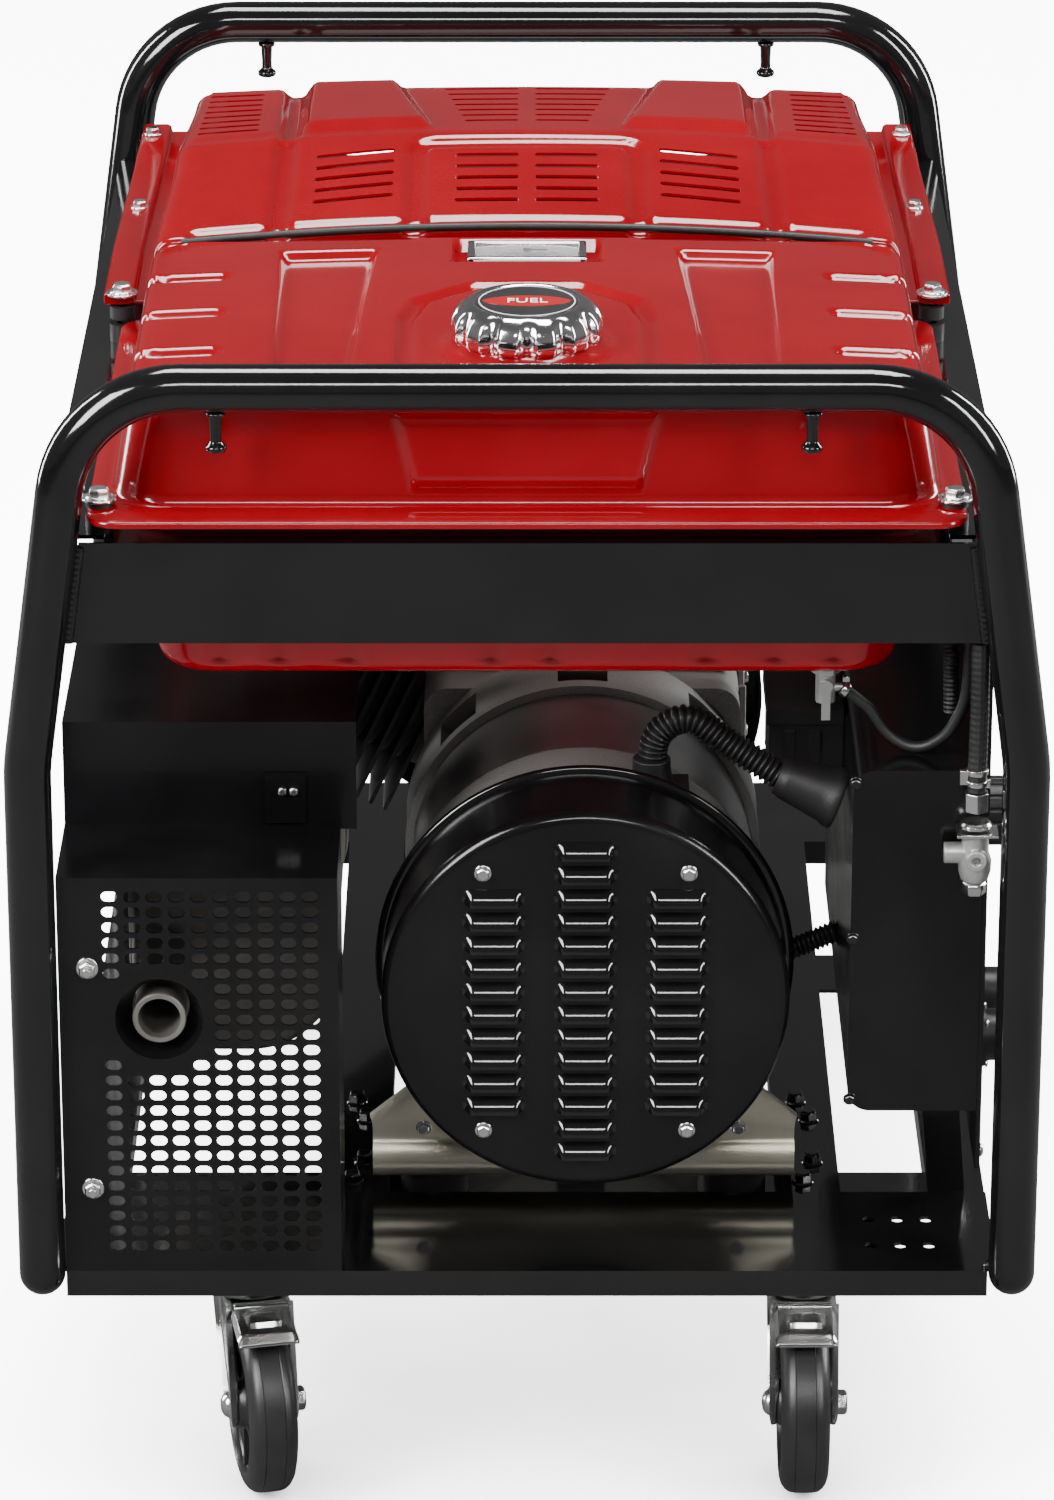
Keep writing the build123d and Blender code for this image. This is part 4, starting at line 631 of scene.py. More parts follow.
def add_words(bm, text, size, place, tilt=Matrix.Identity(4)):
    """Raised lettering, centred on place: in the XY plane unless tilt turns it."""
    curve = bpy.data.curves.new("words", "FONT")
    curve.body = text
    curve.size = size
    curve.align_x = curve.align_y = "CENTER"
    curve.extrude = WORD_DEPTH / 2
    curve.resolution_u = 3
    holder = add_object("words", curve)
    bpy.context.view_layer.update()
    mesh = bpy.data.meshes.new_from_object(holder.evaluated_get(bpy.context.evaluated_depsgraph_get()))
    bpy.data.objects.remove(holder)
    before = set(bm.verts)
    bm.from_mesh(mesh)
    bpy.data.meshes.remove(mesh)
    made = [vert for vert in bm.verts if vert not in before]
    bmesh.ops.transform(bm, matrix=Matrix.Translation(place) @ tilt, verts=made)


def fuel_cap():
    """Bright pressed cap with twelve scallops round a raised rim and a printed label."""
    bm = bmesh.new()
    sides, scallops, scallop_depth = 180, 12, 4.6

    def ring(z, radius, scallop=0.0):
        verts = []
        for k in range(sides):
            turn = 2 * pi * k / sides
            r = radius - scallop_depth * scallop * max(0.0, cos(scallops * turn)) ** 0.8
            verts.append(bm.verts.new((r * cos(turn), NECK_Y + r * sin(turn), z)))
        return verts

    rings = [ring(*level) for level in (
        (817.5, 44.0, 0.0), (817.5, 50.0, 1.0), (819.0, 51.4, 1.0), (824.0, 51.5, 1.0), (829.5, 50.6, 0.9),
        (834.0, 48.6, 0.7), (838.0, 45.2, 0.35), (840.6, 41.5, 0.1), (841.8, 38.5, 0.0), (841.9, 36.5, 0.0),
        (841.2, 35.2, 0.0), (840.6, 34.6, 0.0))]
    skin(bm, rings)
    inside = [ring(817.5, 40.0), ring(830.0, 38.0)]
    skin(bm, [rings[0], *inside])
    bm.faces.new(inside[1])
    bm.faces.new(rings[-1])
    finish_piece("cap_body", bm, "chrome", "fuel_cap", ("fuel_cap",), angle=45)
    label = bmesh.new()
    add_lathe(label, [(0, 0), (0, 33.6), (0.5, 34.1), (0.9, 33.6), (0.9, 0)], (0, NECK_Y, 840.4), (0, 0, 1), 96)
    finish_piece("cap_label", label, "cap_label", "fuel_cap", angle=30)
    lens = bmesh.new()
    half = [(x, 11.5 * sqrt(max(0.0, 1 - (x / 30.5) ** 2)) ** 1.3) for x in [-30 + 60 * k / 40 for k in range(41)]]
    rim = [lens.verts.new((x, NECK_Y + y, 841.5)) for x, y in half]
    rim += [lens.verts.new((x, NECK_Y - y, 841.5)) for x, y in reversed(half[1:-1])]
    lens.faces.new(rim)
    made = bmesh.ops.extrude_face_region(lens, geom=lens.faces[:])["geom"]
    bmesh.ops.translate(lens, vec=(0, 0, -0.6), verts=[g for g in made if isinstance(g, bmesh.types.BMVert)])
    finish_piece("cap_lens", lens, "print_red", "fuel_cap", angle=30)
    white = bmesh.new()
    add_lathe(white, [(0, 31.9), (0, 32.6), (0.3, 32.6), (0.3, 31.9), (0, 31.9)], (0, NECK_Y, 841.2), (0, 0, 1), 96)
    add_words(white, "FUEL", 13.0, (0, NECK_Y, 841.6))
    finish_piece("cap_print", white, "print_white", "fuel_cap", angle=30)


def fuel_gauge():
    """Clear window over a curved dial in a bright bezel."""
    bm = bmesh.new()
    for x0, x1, y0, y1 in ((-42, 42, -122, -117), (-42, 42, -85, -80), (-42, -36, -122, -80), (36, 42, -122, -80)):
        add_box(bm, x0, x1, y0, y1, 801, 808.5)
    finish_piece("gauge_bezel", bm, "chrome", "frame", ("fuel_gauge",), bevel=1.5, segments=3)
    dial = bmesh.new()
    add_box(dial, -36, 36, -117, -85, 800, 803)
    finish_piece("gauge_dial", dial, "gauge", "frame")
    window = bmesh.new()
    rings = []
    for k in range(13):
        x = -36 + 6 * k
        lift = 2.2 * (1 - (x / 36) ** 2)
        rings.append([window.verts.new(p) for p in ((x, -117, 803.5), (x, -85, 803.5), (x, -85, 806.0 + lift * 0.4),
                                                    (x, -101, 806.6 + lift), (x, -117, 806.0 + lift * 0.4))])
    skin(window, rings)
    window.faces.new(rings[0][::-1])
    window.faces.new(rings[-1])
    finish_piece("gauge_window", window, "clear", "frame", angle=50)
    needle = bmesh.new()
    add_rod(needle, (0, -98, 803.2), (0, 0, 1), 1.2, 3.0, 24)
    add_box(needle, -1.0, 14, -98.8, -97.2, 803.4, 804.2)
    finish_piece("gauge_needle", needle, "black_plastic", "frame")


# ------------------------------------------------------------------ hood
HOOD_FRONT, HOOD_BACK, HOOD_FOOT = -50.0, 400.0, 742.0


def hood_line(y):
    """Height of the hood's middle line and how far its corners lie below it."""
    stations = ((-50, 812, 13), (90, 835.2, 12), (99, 836.6, 12), (108, 836, 11.8), (246, 825.6, 6.2), (256, 824.6, 6),
                (266, 821, 6), (390, 760, 5), (400, 755, 5))
    for (y0, z0, c0), (y1, z1, c1) in zip(stations, stations[1:]):
        if y <= y1:
            t = max(0.0, (y - y0) / (y1 - y0))
            return z0 + (z1 - z0) * t, c0 + (c1 - c0) * t
    return stations[-1][1:]


def hood_half(y):
    """Half the hood's width, which narrows towards its back."""
    return 266 - 9 * ease(-50, 99, y) - 7 * ease(99, 253, y) - 4 * ease(253, 400, y)


def hood_relief(x, y):
    """Pressed features: how far the hood stands above its plain crown, in its front slope and its rear slope."""
    ax = abs(x)
    rise = 0.0
    if y < 112:
        on = 1 - ease(94, 110, y)
        groove = 178.0 - 2.4 * ease(-50, 99, y)
        rise -= 5.5 * on * (1 - ease(3.5, 11.0, abs(ax - groove)))
        to_panel = max(ax - 80.0, y - 82.0)
        if ax > 66 and y > 68:
            to_panel = sqrt((ax - 66) ** 2 + (y - 68) ** 2) - 14.0
        rise -= 4.5 * on * (1 - ease(4.0, 10.5, abs(to_panel)))
        rise -= 3.2 * (1 - ease(-42.0, -35.0, y)) * (1 - ease(236, 246, ax))
    if y > 96:
        on = ease(100, 116, y)
        fade = 1 - ease(252, 275, y) * 0.5
        rise -= 7.0 * on * fade * (1 - ease(3.0, 10.5, abs(ax - 173.5)))
        edge = 76.0 + 25.0 * (y - 108.0) / 145.0
        rise += 6.5 * (band(edge, 158.0, 9.0, ax) * ease(104, 126, y) * (1 - ease(262, 290, y)))
        rise += 1.5 * (band(188.0, 300.0, 8.0, ax) * ease(104, 120, y) * (1 - ease(262, 290, y)))
    return rise


def hood_station(y, drop=0.0):
    """One cross-section of the hood, from the left wall's foot over to the right one's; drop lowers it at the ends."""
    top, fall = hood_line(y)
    half = hood_half(y)
    edge_z = top - fall
    radius, count = 13.0, 150
    points = []
    lean = 6.0 * (edge_z - HOOD_FOOT) / 80.0
    for k in range(9):
        t = k / 9
        points.append((-half - lean * (1 - t), HOOD_FOOT + (edge_z - radius - HOOD_FOOT) * t))
    for k in range(8):
        turn = pi / 2 * k / 8
        points.append((-half + radius * (1 - cos(turn)), edge_z - radius + radius * sin(turn)))
    flat = half - radius
    for k in range(count + 1):
        x = -flat + 2 * flat * k / count
        z = edge_z + fall * (1 - (x / flat) ** 2)
        points.append((x, z + hood_relief(x, y)))
    wall_and_round = points[:17]
    points += [(-x, z) for x, z in reversed(wall_and_round)]
    return [(x, y, max(HOOD_FOOT, z - drop) if drop else z) for x, z in points]


def hood():
    bm = bmesh.new()
    stations = [hood_station(HOOD_FRONT + back, drop)
                for back, drop in ((2.5, 20.0), (0.5, 12.0), (-0.2, 5.0), (0.4, 2.2), (1.8, 0.7))]
    y = HOOD_FRONT + 4.0
    while y < HOOD_BACK:
        stations.append(hood_station(y))
        y += 2.6 if y < 285 else 6.0
    stations += [hood_station(HOOD_BACK), hood_station(401.6, 4.0), hood_station(401.6, 14.0)]
    shell_from_grid(bm, stations, 1.8, (0, 0, -1))
    obj = finish_piece("hood_skin", bm, "red_paint", "frame", ("hood",), angle=50)
    slots = []
    above_hood = 850

    def add_slot(side, inner, outer, y, width, low, slant=0.0):
        slots.append((*sorted((side * inner, side * outer)), y, width, low, above_hood, side * slant))

    # Front slope: a middle pair and a slanted outer pair in each row.
    for row in range(5):
        y = -13.0 + 18.0 * row
        for side in (-1, 1):
            add_slot(side, 5.5, 52.0, y, 5.6, 795)
            add_slot(side, 96.0, 154.0, y + 21.0, 5.6, 790, -0.10)
    # Rear slope: the middle panel, then the side panels.
    for row in range(7):
        for side in (-1, 1):
            add_slot(side, 6.0, 46.0 + 2.7 * row, 134.0 + 18.8 * row, 5.4, 795)
    for row in range(9):
        for side in (-1, 1):
            add_slot(side, 197.0, 243.0 - 0.7 * row, 122.0 + 16.0 * row, 5.2, 790, 0.02)
    cut_slots(obj, slots)


def hood_strips():
    """Folded red strips on each side that the hood's feet are screwed to."""
    bm = bmesh.new()
    for side in (-1, 1):
        rings = []
        for y, shift, lift in ((-20, 0, 0), (100, 0, 0), (200, -2, 0), (298, -4, 0), (312, -4.5, 2.5), (398, -6, 4)):
            inner, outer = 266.0 + shift, 304.5 + shift
            low, high = 741.0 + lift, 750.0 + lift
            outline = [(inner, low + 1), (outer - 20, low + 1), (outer - 19, low), (outer - 1.5, low),
                       (outer, low + 1.5), (outer, high - 2), (outer - 2, high), (outer - 19, high),
                       (outer - 21.5, high - 1.5), (outer - 22.5, low + 3), (inner, low + 3)]
            rings.append([bm.verts.new((side * x, y, z)) for x, z in outline])
        skin(bm, rings)
        bm.faces.new(rings[0])
        bm.faces.new(rings[-1][::-1])
    finish_piece("hood_strips", bm, "red_paint", "frame", bevel=0.8, angle=35)


def hood_gap_shadow():
    """Black bead in the gap between the tank and the hood's front edge, a dark thing put there as painted shadow for
    that gap.
    """
    bm = bmesh.new()
    path = [(x, HOOD_FRONT - 1.2, 810.0 - 13.0 * (x / 253) ** 2) for x in [-246 + 492 * k / 80 for k in range(81)]]
    add_tube(bm, path, 2.6, 12)
    finish_piece("hood_gap_shadow", bm, "rubber", "frame", angle=60)


def shell_from_grid(bm, rows, thick, inward):
    """Closes a grid of points into a thin shell that grows towards inward, a direction."""
    outer = [[bm.verts.new(p) for p in row] for row in rows]
    count, width = len(rows), len(rows[0])
    normals = []
    for i in range(count):
        line = []
        for j in range(width):
            a = Vector(rows[min(i + 1, count - 1)][j]) - Vector(rows[max(i - 1, 0)][j])
            b = Vector(rows[i][min(j + 1, width - 1)]) - Vector(rows[i][max(j - 1, 0)])
            normal = a.cross(b).normalized()
            if normal.dot(Vector(inward)) < -0.02:
                normal = -normal
            line.append(normal)
        normals.append(line)
    # A wall that runs along inward can't tell its own side, so it follows its neighbour.
    base = normals[count // 2][width // 2]
    for i in range(count):
        for j in range(width):
            near = normals[i][j - 1] if j else normals[i - 1][0] if i else base
            if normals[i][j].dot(near) < -0.3:
                normals[i][j] = -normals[i][j]
    under = [[bm.verts.new(Vector(rows[i][j]) + normals[i][j] * thick) for j in range(width)] for i in range(count)]
    for i in range(count - 1):
        for j in range(width - 1):
            bm.faces.new((outer[i][j], outer[i][j + 1], outer[i + 1][j + 1], outer[i + 1][j]))
            bm.faces.new((under[i][j], under[i + 1][j], under[i + 1][j + 1], under[i][j + 1]))
    for i in range(count - 1):
        bm.faces.new((outer[i][0], outer[i + 1][0], under[i + 1][0], under[i][0]))
        bm.faces.new((outer[i + 1][-1], outer[i][-1], under[i][-1], under[i + 1][-1]))
    for j in range(width - 1):
        bm.faces.new((outer[0][j + 1], outer[0][j], under[0][j], under[0][j + 1]))
        bm.faces.new((outer[-1][j], outer[-1][j + 1], under[-1][j + 1], under[-1][j]))


# ------------------------------------------------------------------ alternator end
def cover_louvres():
    """Pressed louvres over the end cover's slots, each open along its lower edge."""
    bm = bmesh.new()
    half, top, low, deep = 21.5, 6.8, -4.6, 6.4
    face_y, column_pitch, row_pitch = -420.4, 62.7, 17.2
    for column, count in enumerate((10, 14, 10)):
        for row in range(count):
            cx = SHAFT_X + (column - 1) * column_pitch
            cz = SHAFT_Z + (row - (count - 1) / 2) * row_pitch
            rows = []
            for v in [i / 8 for i in range(9)]:
                z = top + (low - top) * v
                line = []
                for u in [-1 + 2 * j / 24 for j in range(25)]:
                    flat = 1 - ease(0.66, 1.0, abs(u))
                    lift = deep * sin(pi / 2 * min(1.0, v * 1.15)) * flat
                    pinch = 1 - 0.55 * ease(0.8, 1.0, abs(u))
                    line.append((cx + half * u, face_y - lift, cz + z * pinch - 0.2 * (1 - pinch)))
                rows.append(line)
            shell_from_grid(bm, rows, 0.9, (0, 1, 0))
    finish_piece("cover_louvres", bm, "frame_black", "frame", angle=50)


def cover_rim():
    """Rolled rear rim of the end cover."""
    bm = bmesh.new()
    add_lathe(bm, [(-1.5, 139.0), (-1.5, 143.5), (0, 145.2), (2.2, 145.2), (3.4, 143.6), (3.4, 139.0), (-1.5, 139.0)],
              (SHAFT_X, -347.5, SHAFT_Z), (0, 1, 0), 128)
    finish_piece("cover_rim", bm, "frame_black", "frame", angle=50)


def hex_head(bm, seat, out, radius, height, flange=True):
    """A hex head with a washer flange and a chamfered top, seated on a face."""
    out = Vector(out).normalized()
    seat = Vector(seat)
    if flange:
        add_rod(bm, seat, out, height * 0.22, radius * 1.28, 36, radius * 1.2)
    add_rod(bm, seat, out, height * 0.82, radius, 6)
    add_rod(bm, seat + out * height * 0.82, out, height * 0.18, radius, 6, radius * 0.8)


def pan_screw(bm, seat, out, radius):
    """A round head with a sunk middle, seated on a face."""
    profile = [(0, 0), (0, 1), (0.25, 1), (0.5, 0.82), (0.66, 0.45), (0.66, 0.32), (0.3, 0.2), (0.3, 0)]
    add_lathe(bm, [(radius * along, radius * wide) for along, wide in profile], seat, out, 32)


def bright_fasteners():
    """Zinc bolts and screws: shield, end cover, tank and hood feet, alternator foot, panel and caster plates."""
    bm = bmesh.new()
    for x, z in ((-298, 408), (-298, 243)):  # muffler shield
        hex_head(bm, (x, -447.6, z), (0, -1, 0), 6.2, 6.5)
        add_rod(bm, (x, -448, z), (0, -1, 0), 9.5, 3, 20)
    for sx in (-70, 70):  # end cover
        for sz in (-96, 96):
            hex_head(bm, (SHAFT_X + sx, -420, SHAFT_Z + sz), (0, -1, 0), 4.8, 4.6)
    for x, z in ((-168, 499), (-160, 499)):  # heat shield
        hex_head(bm, (x, -352.7, z), (0, -1, 0), 3.2, 3.4, False)
    # tank flange and hood strips
    for x, y, z in ((-283.5, -421, 737.5), (283.5, -421, 737.5), (-291.5, -17, 750.2), (291.5, -17, 750.2)):
        add_rod(bm, (x, y, z - 2), (0, 0, 1), 1.8, 11.5, 40)
        hex_head(bm, (x, y, z - 0.2), (0, 0, 1), 7.2, 6.4)
    for x in (-290, 290):
        for y in (190, 370):
            hex_head(bm, (x, y, 750 + (4 if y > 300 else 0)), (0, 0, 1), 5.6, 5.5)
    for x in (-66, 146):  # alternator foot
        hex_head(bm, (x, -288.8, 214), (0, 0, 1), 8.0, 8.0)
    for y in (-416, -52):  # control panel
        for z in (257, 628):
            pan_screw(bm, (PANEL_X, y, z), (1, 0, 0), 4.8)
    for x_side in (-1, 1):  # caster plates
        for y_side in (-1, 1):
            for dx in (-42, 42):
                for dy in (-30, 30):
                    hex_head(bm, (x_side * CASTER_X + dx, y_side * CASTER_Y + dy, 156.2), (0, 0, -1), 7.2, 5.8)
    for x, z in ((-73, 226.8), (149.5, 226.8)):
        hex_head(bm, (x, -315.0, z), (0, -1, 0), 4.6, 4.4)
    finish_piece("bright_fasteners", bm, "zinc_plate", "frame", ("zinc_bolts",), bevel=0.35, angle=35)


def black_fasteners():
    """Bolts along the base's rails, and the hanging studs under both hoops' top bars."""
    bm = bmesh.new()
    for x in (-120.0, 200.0):
        for y in (-305, -272, -201, -170):
            hex_head(bm, (x + (4 if y in (-201, -272) else -4), y, 179.6), (0, 0, 1), 6.4, 7.5)
    stud = [(0, 0), (0, 5.0), (-1.2, 6.6), (-3.4, 6.4), (-4.4, 4.4), (-16, 3.9), (-21, 4.0), (-22.6, 5.2),
            (-24.2, 7.0), (-26.0, 7.2), (-27.6, 6.4), (-28.4, 4.4), (-28.6, 0)]
    for side in (-1, 1):
        for x in (-204.0, 187.0):
            add_lathe(bm, stud, (x, side * HOOP_Y, 806.5), (0, 0, 1), 40)
    finish_piece("black_fasteners", bm, "frame_black", "frame", ("black_bolts",), bevel=0.3, angle=35)


def weld_beads():
    """Rippled fillets where the cross panels and channels meet the hoop legs."""
    bm = bmesh.new()
    panel_foot_z, leg_lean, tube_and_bead, base_top = 643.5, 0.137, 17.4, 180.4
    for side in (-1, 1):
        for end in (-1, 1):
            upright = [(side * (305.5 - leg_lean * (z - panel_foot_z)), end * (HOOP_Y - 1.0), z)
                       for z in [644.0 + 1.4 * k for k in range(49)]]
            add_tube(bm, upright, 4.0, 12, wave=lambda k: 4.1 + 0.5 * sin(k * 2.1) + (0.25 if k % 3 else 0))
            around = [(side * (LEG_X - tube_and_bead * cos(a)), end * (HOOP_Y - tube_and_bead * sin(a)), base_top)
                      for a in [radians(8 + 2.6 * k) for k in range(31)]]
            add_tube(bm, around, 3.0, 10, wave=lambda k: 2.9 + 0.45 * sin(k * 2.3))
    finish_piece("weld_beads", bm, "frame_black", "frame", angle=70)


# ------------------------------------------------------------------ hoses and conduits
def ribbed(path, radius, depth, pitch, steps=6):
    """Points of a corrugated tube, and the function that gives its radius at each."""
    points = resample(path, pitch / steps)
    return points, lambda k: radius - depth * (0.5 - 0.5 * cos(2 * pi * k / steps)) ** 1.6


def conduits():
    bm = bmesh.new()
    route = [(86, -322, 506), (88, -323, 530), (110, -327, 546), (142, -333, 524), (180, -340, 501)]
    points, wave = ribbed(arc_path(route, [24, 30, 90]), 10.4, 2.2, 4.2)
    add_tube(bm, points, 10, 28, wave=wave)
    points, wave = ribbed([(165, -236, 320), (221, -236, 344)], 8.2, 1.8, 3.6)
    add_tube(bm, points, 8, 24, wave=wave)
    finish_piece("ribbed_conduits", bm, "black_plastic", "frame", ("wiring_conduits",), angle=60)


def conduit_fittings():
    """The upper conduit's rubber boot, its grommet on a base, and the terminal box with its lid."""
    bm = bmesh.new()
    start = Vector((176, -339.5, 503.5))
    way = Vector((40, -4, -15)).normalized()
    add_lathe(bm, [(-4, 0), (-4, 12.6), (0, 13.6), (1.5, 14.6), (4, 14.8), (26, 18.4), (33, 19.6), (36, 21.4),
                   (40, 21.8), (42, 21.0), (42, 0)], start, way, 48)
    profile = [(0, 0), (0, 17), (2, 18.4), (12, 18.4), (22, 15), (30, 13.2), (37, 13.2), (38, 11), (38, 0)]
    add_lathe(bm, profile, (86, -322, 474), (0, 0, 1), 40)
    add_box(bm, 72, 112, -340, -304, 468, 492)
    add_box(bm, 168, 220, -292, -212, 478, 530)
    add_box(bm, 166, 220, -294, -210, 524, 536)
    add_box(bm, 178, 186, -293.5, -292, 484, 520)
    add_box(bm, 196, 204, -293.5, -292, 484, 520)
    finish_piece("conduit_fittings", bm, "rubber", "frame", ("wiring_covers",), bevel=3.0, segments=4, angle=40)


def fuel_line():
    """The thin fuel hose, the braided sleeve above the shut-off valve, and the tank's vent tube."""
    bm = bmesh.new()
    route = [(213, TAP_Y, 586), (232, -383, 572), (246, -388, 552), (266, -396, 546), (284, -402, 560),
             (296, -404, 586), (298, -404, 650), (299, -408, 676), (301, -434, 682), (VALVE_X, VALVE_Y, 664),
             (VALVE_X, VALVE_Y, 638)]
    add_tube(bm, resample(arc_path(route, [24, 34, 34, 34, 60, 40, 14, 12, 20]), 1.5), 3.9, 24)
    finish_piece("fuel_hose", bm, "rubber", "frame", ("fuel_hoses",), angle=60)
    braid = bmesh.new()
    sides, strands, pitch, step = 48, 6, 9, 0.8
    points = resample([(VALVE_X, VALVE_Y, 534), (VALVE_X + 0.6, VALVE_Y, 590), (VALVE_X, VALVE_Y, 641)], step)
    for k, (centre, ring) in enumerate(zip(points, add_tube(braid, points, 6.25, sides))):
        for j, vert in enumerate(ring):
            round_part, along_part = j * strands / sides, k * step / pitch
            weave = sin(2 * pi * (round_part + along_part)) * sin(2 * pi * (round_part - along_part))
            away = Vector((vert.co.x - centre.x, vert.co.y - centre.y, 0)).normalized()
            vert.co += away * 0.35 * weave
    finish_piece("hose_sleeve", braid, "rubber", "frame", angle=80)
    coil = bmesh.new()
    points, wave = ribbed(arc_path([(288, -372, 566), (287, -376, 606), (283, -378, 640), (276, -376, 668)], 60),
                          5.4, 1.1, 3.4)
    add_tube(coil, points, 5.2, 24, wave=wave)
    finish_piece("vent_tube", coil, "black_plastic", "frame", angle=70)


def hose_clamps():
    bm = bmesh.new()
    x, y, z = 213.5, TAP_Y, 585.6
    add_lathe(bm, [(0, 3.9), (0, 5.0), (0.6, 5.3), (4.4, 5.3), (5.0, 5.0), (5.0, 3.9), (0, 3.9)], (x, y, z),
              (0.83, -0.15, -0.55), 32)
    add_box(bm, x, x + 5, y - 2, y + 2, z + 4.6, z + 8.5)
    for z in (538, 546):
        add_lathe(bm, [(0, 6.2), (0, 7.3), (0.5, 7.6), (3.5, 7.6), (4, 7.3), (4, 6.2), (0, 6.2)],
                  (VALVE_X, VALVE_Y, z), (0, 0, 1), 36)
    add_box(bm, 290.5, 296, -441, -436, 539, 549)
    add_box(bm, 307.5, 311, -441, -437, 537, 543)
    add_rod(bm, (VALVE_X, VALVE_Y, 520), (0, 0, 1), 13, 8.6, 6)
    add_lathe(bm, [(0, 0), (0, 10.5), (2, 11), (4, 9), (4, 0)], (VALVE_X, VALVE_Y, 508), (0, 0, 1), 36)
    add_box(bm, 289, 317, -449, -429, 503.4, 505.6)
    finish_piece("hose_clamps", bm, "zinc_plate", "frame", bevel=0.4, angle=35)


def fuel_valves():
    """The shut-off valve with its drain plug, and the tap under the tank."""
    body = bmesh.new()
    add_lathe(body, [(0, 0), (0, 6), (2, 9.2), (8, 11), (16, 11.4), (22, 9.4), (32, 9.0), (36, 8.0), (36, 0)],
              (VALVE_X, VALVE_Y, 468), (0, 0, 1), 40)
    add_rod(body, (VALVE_X - 6, VALVE_Y, 489), (-1, 0, 0), 15, 7.2, 32)
    add_lathe(body, [(0, 0), (0, 7.4), (9, 7.4), (10, 6.6), (10, 3.2), (4, 3.0), (4, 0)],
              (VALVE_X, VALVE_Y - 5, 488), (0, -1, 0), 32)
    add_rod(body, (TAP_X, TAP_Y, 602), (0, 0, -1), 26, 6.8, 28)
    add_lathe(body, [(0, 0), (0, 10), (4, 10), (5, 8.5), (5, 0)], (TAP_X, TAP_Y, 597), (0, 0, 1), 6)
    add_rod(body, (TAP_X + 4, TAP_Y, 586), (1, 0, 0), 8, 3.0, 20)
    finish_piece("valve_bodies", body, "cast_bright", "frame", ("fuel_fittings",), bevel=0.5, angle=35)
    tip = bmesh.new()
    add_lathe(tip, [(0, 0), (0, 7.2), (-1.5, 8.6), (-7.4, 8.6), (-9, 7.4), (-9, 0)], (VALVE_X, VALVE_Y, 468),
              (0, 0, 1), 6)
    finish_piece("valve_plug", tip, "zinc_plate", "frame", bevel=0.5)


# ------------------------------------------------------------------ casters
def caster_frame(x_side, y_side):
    """Where a caster stands: the front pair trails to -Y, and the front left and rear right are turned a little."""
    yaw = radians((12.0 if x_side * y_side > 0 else 0.0) + (180.0 if y_side < 0 else 0.0))
    return Matrix.Translation((x_side * CASTER_X, y_side * CASTER_Y, 0)) @ Matrix.Rotation(yaw, 4, "Z")


def wheel(site, place):
    """Tread, side walls and hub in one turned profile, as (across, radius) from the middle out, and hub ribs."""
    bm = bmesh.new()
    half = [(0, 63.4), (6.5, 63.3), (7.0, 62.8), (7.6, 63.2), (10.5, 62.4), (13.4, 60.3), (15.6, 57.0), (16.8, 53.0),
            (17.0, 49.8), (16.0, 48.9), (12.2, 48.2), (10.8, 46.6), (9.8, 36.0), (9.8, 26.0), (11.5, 19.5),
            (14.0, 17.0), (17.2, 15.8), (18.4, 14.2), (18.4, 8.4), (17.6, 7.4), (17.6, 5.06)]
    profile = [(-a, r) for a, r in reversed(half)] + half[1:]
    profile.append(profile[0])
    add_lathe(bm, profile, (0, TRAIL, AXLE_Z), (1, 0, 0), 112)
    for side in (-1, 1):
        for k in range(6):
            turn = Matrix.Translation((0, TRAIL, AXLE_Z)) @ Matrix.Rotation(pi / 3 * k, 4, "X")
            rib = add_box(bm, *sorted((side * 9.0, side * 13.2)), -2.0, 2.0, 16.5, 48.6)
            bmesh.ops.transform(bm, matrix=turn, verts=rib)
    bmesh.ops.transform(bm, matrix=place, verts=bm.verts)
    finish_piece("wheel_tyre_" + site, bm, "tyre", "wheel_" + site, ("caster_wheel_" + site,), angle=32)


def fork_leg(side):
    """Rows of points down one leg: flanged front and back edges above, a round end under the axle."""
    lip, fold, fold_back, top, lean_top = 4.5, 1.2, 2.2, 138.5, 138.0
    x = side * FORK_HALF
    rows = []
    for k in range(15):
        z = top - (top - AXLE_Z) * k / 14
        t = max(0.0, lean_top - z) / (lean_top - AXLE_Z)
        front, back = -27.0 + 48.0 * t ** 1.25, 31.0 + 17.5 * t
        rows.append([(x + side * lip, front, z), (x + side * fold, front + 0.4, z), (x, front + fold_back, z)] +
                    [(x, front + fold_back + (back - front - 2 * fold_back) * j / 6, z) for j in range(1, 6)] +
                    [(x, back - fold_back, z), (x + side * fold, back - 0.4, z), (x + side * lip, back, z)])
    middle, reach = (front + back) / 2, (back - front) / 2
    for k in range(1, 8):
        a = pi / 2 * k / 8
        z = AXLE_Z - reach * sin(a)
        r = reach * cos(a)
        edge = x + side * lip * cos(a)
        rows.append([(edge, middle - r, z), (x + side * fold, middle - r * 0.97, z), (x, middle - r * 0.88, z)] +
                    [(x, middle + r * 0.88 * (-1 + 2 * j / 6), z) for j in range(1, 6)] +
                    [(x, middle + r * 0.88, z), (x + side * fold, middle + r * 0.97, z), (edge, middle + r, z)])
    return rows


